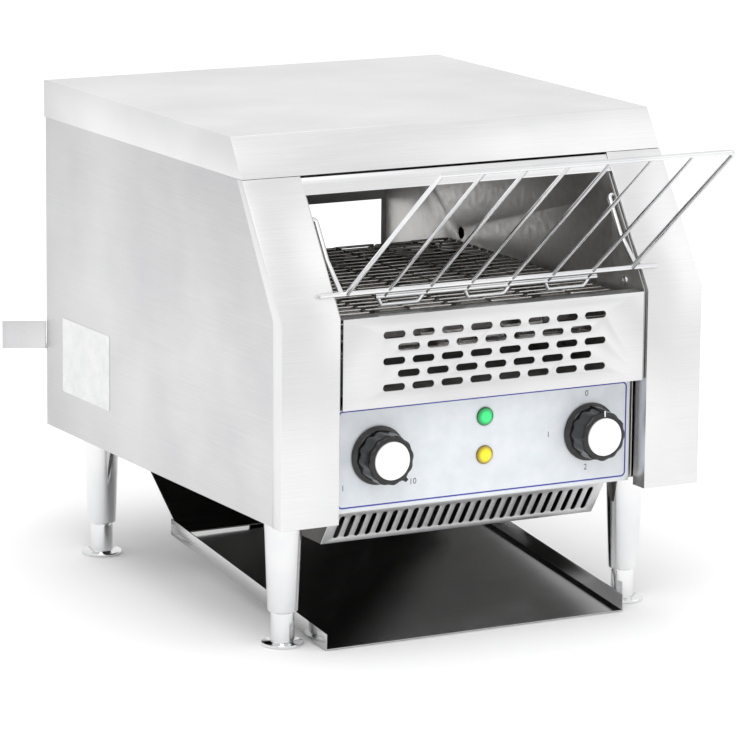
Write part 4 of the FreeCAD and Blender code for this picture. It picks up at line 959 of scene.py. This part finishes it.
strand_points = [(-BELT_HALF, LINK_STEP - 1.0, 0), (-BELT_HALF, 0, 0)]
for index in range(BELT_SPACES):
    level = LINK_STEP if index % 2 else 0.0
    x0 = -BELT_SPAN / 2 + index * BELT_SPAN / BELT_SPACES
    x1 = x0 + BELT_SPAN / BELT_SPACES
    if index:
        strand_points.append((x0, level, 0))
    if index < BELT_SPACES - 1:
        strand_points.append((x1, level, 0))
strand_points += [(BELT_HALF, 0, 0), (BELT_HALF, LINK_STEP - 1.0, 0)]
strand = bent_wire("strand", strand_points, 1.0, 1.6, 2, 3)
strand.data.transform(Matrix.Translation(-place(0, 0, 0)))


def on_turn(shaft_y, start, step):
    """The place of a strand on the belt's way round a shaft."""
    turn = start - step * 2 * math.pi / TEETH
    return shaft_y + BELT_RADIUS * math.cos(turn), SHAFT_Z + BELT_RADIUS * math.sin(turn)


stations = [(IDLER_Y + i * PITCH, TOP_RUN) for i in range(RUN_LINKS)]
stations += [on_turn(DRIVE_Y, math.pi / 2, i) for i in range(TEETH // 2)]
stations += [(DRIVE_Y - i * PITCH, SHAFT_Z - BELT_RADIUS) for i in range(RUN_LINKS)]
stations += [on_turn(IDLER_Y, -math.pi / 2, i) for i in range(TEETH // 2)]
strands = []
for index, (y, z) in enumerate(stations):
    next_y, next_z = stations[(index + 1) % len(stations)]
    turn = Matrix.Rotation(math.atan2(next_z - z, next_y - y), 4, "X")
    strands.append(copied(strand, Matrix.Translation(place(0, y, z)) @ turn))
bpy.data.objects.remove(strand, do_unlink=True)
placed(merged(strands, "wire_belt"), BELT_STEEL, "casing", ("conveyor_belt",))


# Heater tubes

for name, places in (
    ("upper_heaters", [(130.0 + i * 60.0, 238.0) for i in range(3)]),
    ("lower_heaters", [(120.0 + i * 92.0, SHAFT_Z) for i in range(2)]),
):
    tubes = [
        turned(
            "tube",
            [(3.4, 0.0), (4.5, 0.6), (4.5, 4.0), (4.2, 5.0), (4.2, 247.0), (4.5, 248.0),
             (4.5, 251.4), (3.4, 252.0)],
            (-126.0, y, z), "X", 24,
        )
        for y, z in places
    ]
    tubes = merged(tubes, name + "_tubes")
    smoothed(tubes, 40.0)
    placed(tubes, QUARTZ, "casing", (name,))


# Legs and levelling feet

LEG_X = 152.5
FRONT_LEG_Y = 57.0
REAR_LEG_Y = 379.0
LEG_PLACES = [
    ("front_left", -LEG_X, FRONT_LEG_Y), ("front_right", LEG_X, FRONT_LEG_Y),
    ("rear_left", -LEG_X, REAR_LEG_Y), ("rear_right", LEG_X, REAR_LEG_Y),
]
leg_model = turned(
    "leg",
    [(8.0, -77.0), (11.3, -77.0), (11.7, -76.6), (14.9, -3.0), (15.0, -2.0), (15.0, 1.0),
     (8.0, 1.0)],
    (0, 0, 0), "Z", 64,
)
foot_model = turned(
    "foot",
    [(15.9, -104.0), (16.5, -103.7), (16.7, -103.0), (16.7, -101.9), (16.3, -101.3),
     (15.2, -101.0), (9.9, -101.0), (9.4, -100.6), (9.3, -99.8), (9.3, -79.2), (9.0, -77.6),
     (8.6, -77.3), (4.9, -77.3), (4.9, -42.0)],
    (0, 0, 0), "Z", 48,
)
legs = []
for name, x, y in LEG_PLACES:
    shift = Matrix.Translation((x / 1000.0, y / 1000.0, 0))
    legs.append(copied(leg_model, shift))
    foot = copied(foot_model, shift)
    foot.name = "foot_" + name + "_turned"
    smoothed(foot, 40.0)
    placed(foot, POLISHED_STEEL, "levelling_foot_" + name, ("foot_" + name,))
for model in (leg_model, foot_model):
    bpy.data.objects.remove(model, do_unlink=True)
legs = merged(legs, "turned_legs")
smoothed(legs, 40.0)
placed(legs, POLISHED_STEEL, "casing", ("legs",))


# Screws, and the bare label on the left side

SCREW_X = 174.0
SCREW_Y = 418.0
SCREW_HEIGHTS = (14.0, 143.0, 242.0)
WALL_SCREW = (133.0, 31.0, 160.0)

screw = turned(
    "screw",
    [(3.0, 0.0), (3.5, 0.0), (3.5, 0.4), (3.3, 0.9), (2.8, 1.3), (1.9, 1.55), (0.8, 1.6)],
    (0, 0, 0), "Y", 32,
)
screw.data.transform(Matrix.Translation(-place(0, 0, 0)))
cross = [
    block("cross", (-1.8, 0.9, -0.35), (1.8, 2.4, 0.35)),
    block("cross", (-0.35, 0.9, -1.8), (0.35, 2.4, 1.8)),
]
for part in cross:
    part.data.transform(Matrix.Translation(-place(0, 0, 0)))
for part in cross:
    cut_out(screw, [part])
screws = []
for side in (-1, 1):
    for z in SCREW_HEIGHTS:
        screws.append(copied(screw, Matrix.Translation(place(side * SCREW_X, SCREW_Y, z))))
inside = Matrix.Translation(place(*WALL_SCREW)) @ Matrix.Rotation(math.radians(90), 4, "Z")
wall_screw = copied(screw, inside)
wall_screw.name = "wall_screw"
smoothed(wall_screw, 40.0)
placed(wall_screw, POLISHED_STEEL, "casing", ())
bpy.data.objects.remove(screw, do_unlink=True)
screws = merged(screws, "pan_head_screws")
smoothed(screws, 40.0)
placed(screws, POLISHED_STEEL, "casing", ("panel_screws",))


def along_x(a, b):
    """True for an edge that runs across the sheet's thickness."""
    return abs(a.x - b.x) > 0.9 * (a - b).length


label = block("bare_label", (-183.3, 299.0, 34.0), (-182.9, 387.0, 95.0), 2.0, 5, along_x)
placed(label, PLATE, "casing", ())


# Floor, light and camera

clear_selection()
bpy.ops.mesh.primitive_plane_add(size=30.0, location=(0, 0, 0))
floor = bpy.context.active_object
floor.name = "floor"
floor_material = new_material(
    "white matt floor",
    {
        "Roughness": 0.9,
        "Base Color": colour("#ffffff"),
        "Emission Color": colour("#ffffff"),
        "Emission Strength": 0.05,
    },
)[0]
finish(floor, floor_material)


def softbox(name, location, aim, size, power):
    """A square soft light that faces a point."""
    clear_selection()
    bpy.ops.object.light_add(type="AREA", location=location)
    lamp = bpy.context.active_object
    lamp.name = name
    lamp.data.size = size
    lamp.data.energy = power
    lamp.rotation_mode = "QUATERNION"
    lamp.rotation_quaternion = (Vector(location) - Vector(aim)).to_track_quat("Z", "Y")
    return lamp


AIM = (0.0, 0.0, 0.2)
lights = [
    softbox("key", (-1.2, -1.8, 2.6), AIM, 1.6, 16.0),
    softbox("fill", (2.4, -1.6, 1.6), AIM, 2.0, 4.6),
    softbox("top", (0.0, 0.6, 3.0), AIM, 2.4, 13.0),
]

WORLD_STRENGTH = 0.98

world = bpy.data.worlds.new("studio")
bpy.context.scene.world = world
world.use_nodes = True
background = world.node_tree.nodes["Background"]
background.inputs[0].default_value = (1.0, 1.0, 1.0, 1.0)
background.inputs[1].default_value = WORLD_STRENGTH

# The camera solved from the photo: its place in metres, then azimuth, elevation and roll.
CAMERA_PLACE = (-1.70962, -3.09910, 0.91068)
CAMERA_ANGLES = (-28.7531, 11.701, 0.5424)
CAMERA_LENS = 221.87
CAMERA_SENSOR = 36.0

azimuth, elevation, roll = (math.radians(a) for a in CAMERA_ANGLES)
back = Vector(
    (
        math.sin(azimuth) * math.cos(elevation),
        -math.cos(azimuth) * math.cos(elevation),
        math.sin(elevation),
    )
)
right = Vector((math.cos(azimuth), math.sin(azimuth), 0.0))
up = back.cross(right)
turned_right = right * math.cos(roll) + up * math.sin(roll)
turned_up = -right * math.sin(roll) + up * math.cos(roll)
clear_selection()
bpy.ops.object.camera_add(location=(0, 0, 0))
camera = bpy.context.active_object
camera.data.lens = CAMERA_LENS
camera.data.sensor_width = CAMERA_SENSOR
camera.data.clip_end = 100.0
camera.matrix_world = Matrix.Translation(CAMERA_PLACE) @ Matrix(
    (turned_right, turned_up, back)
).transposed().to_4x4()
scene = bpy.context.scene
scene.camera = camera
scene.view_settings.view_transform = "Standard"
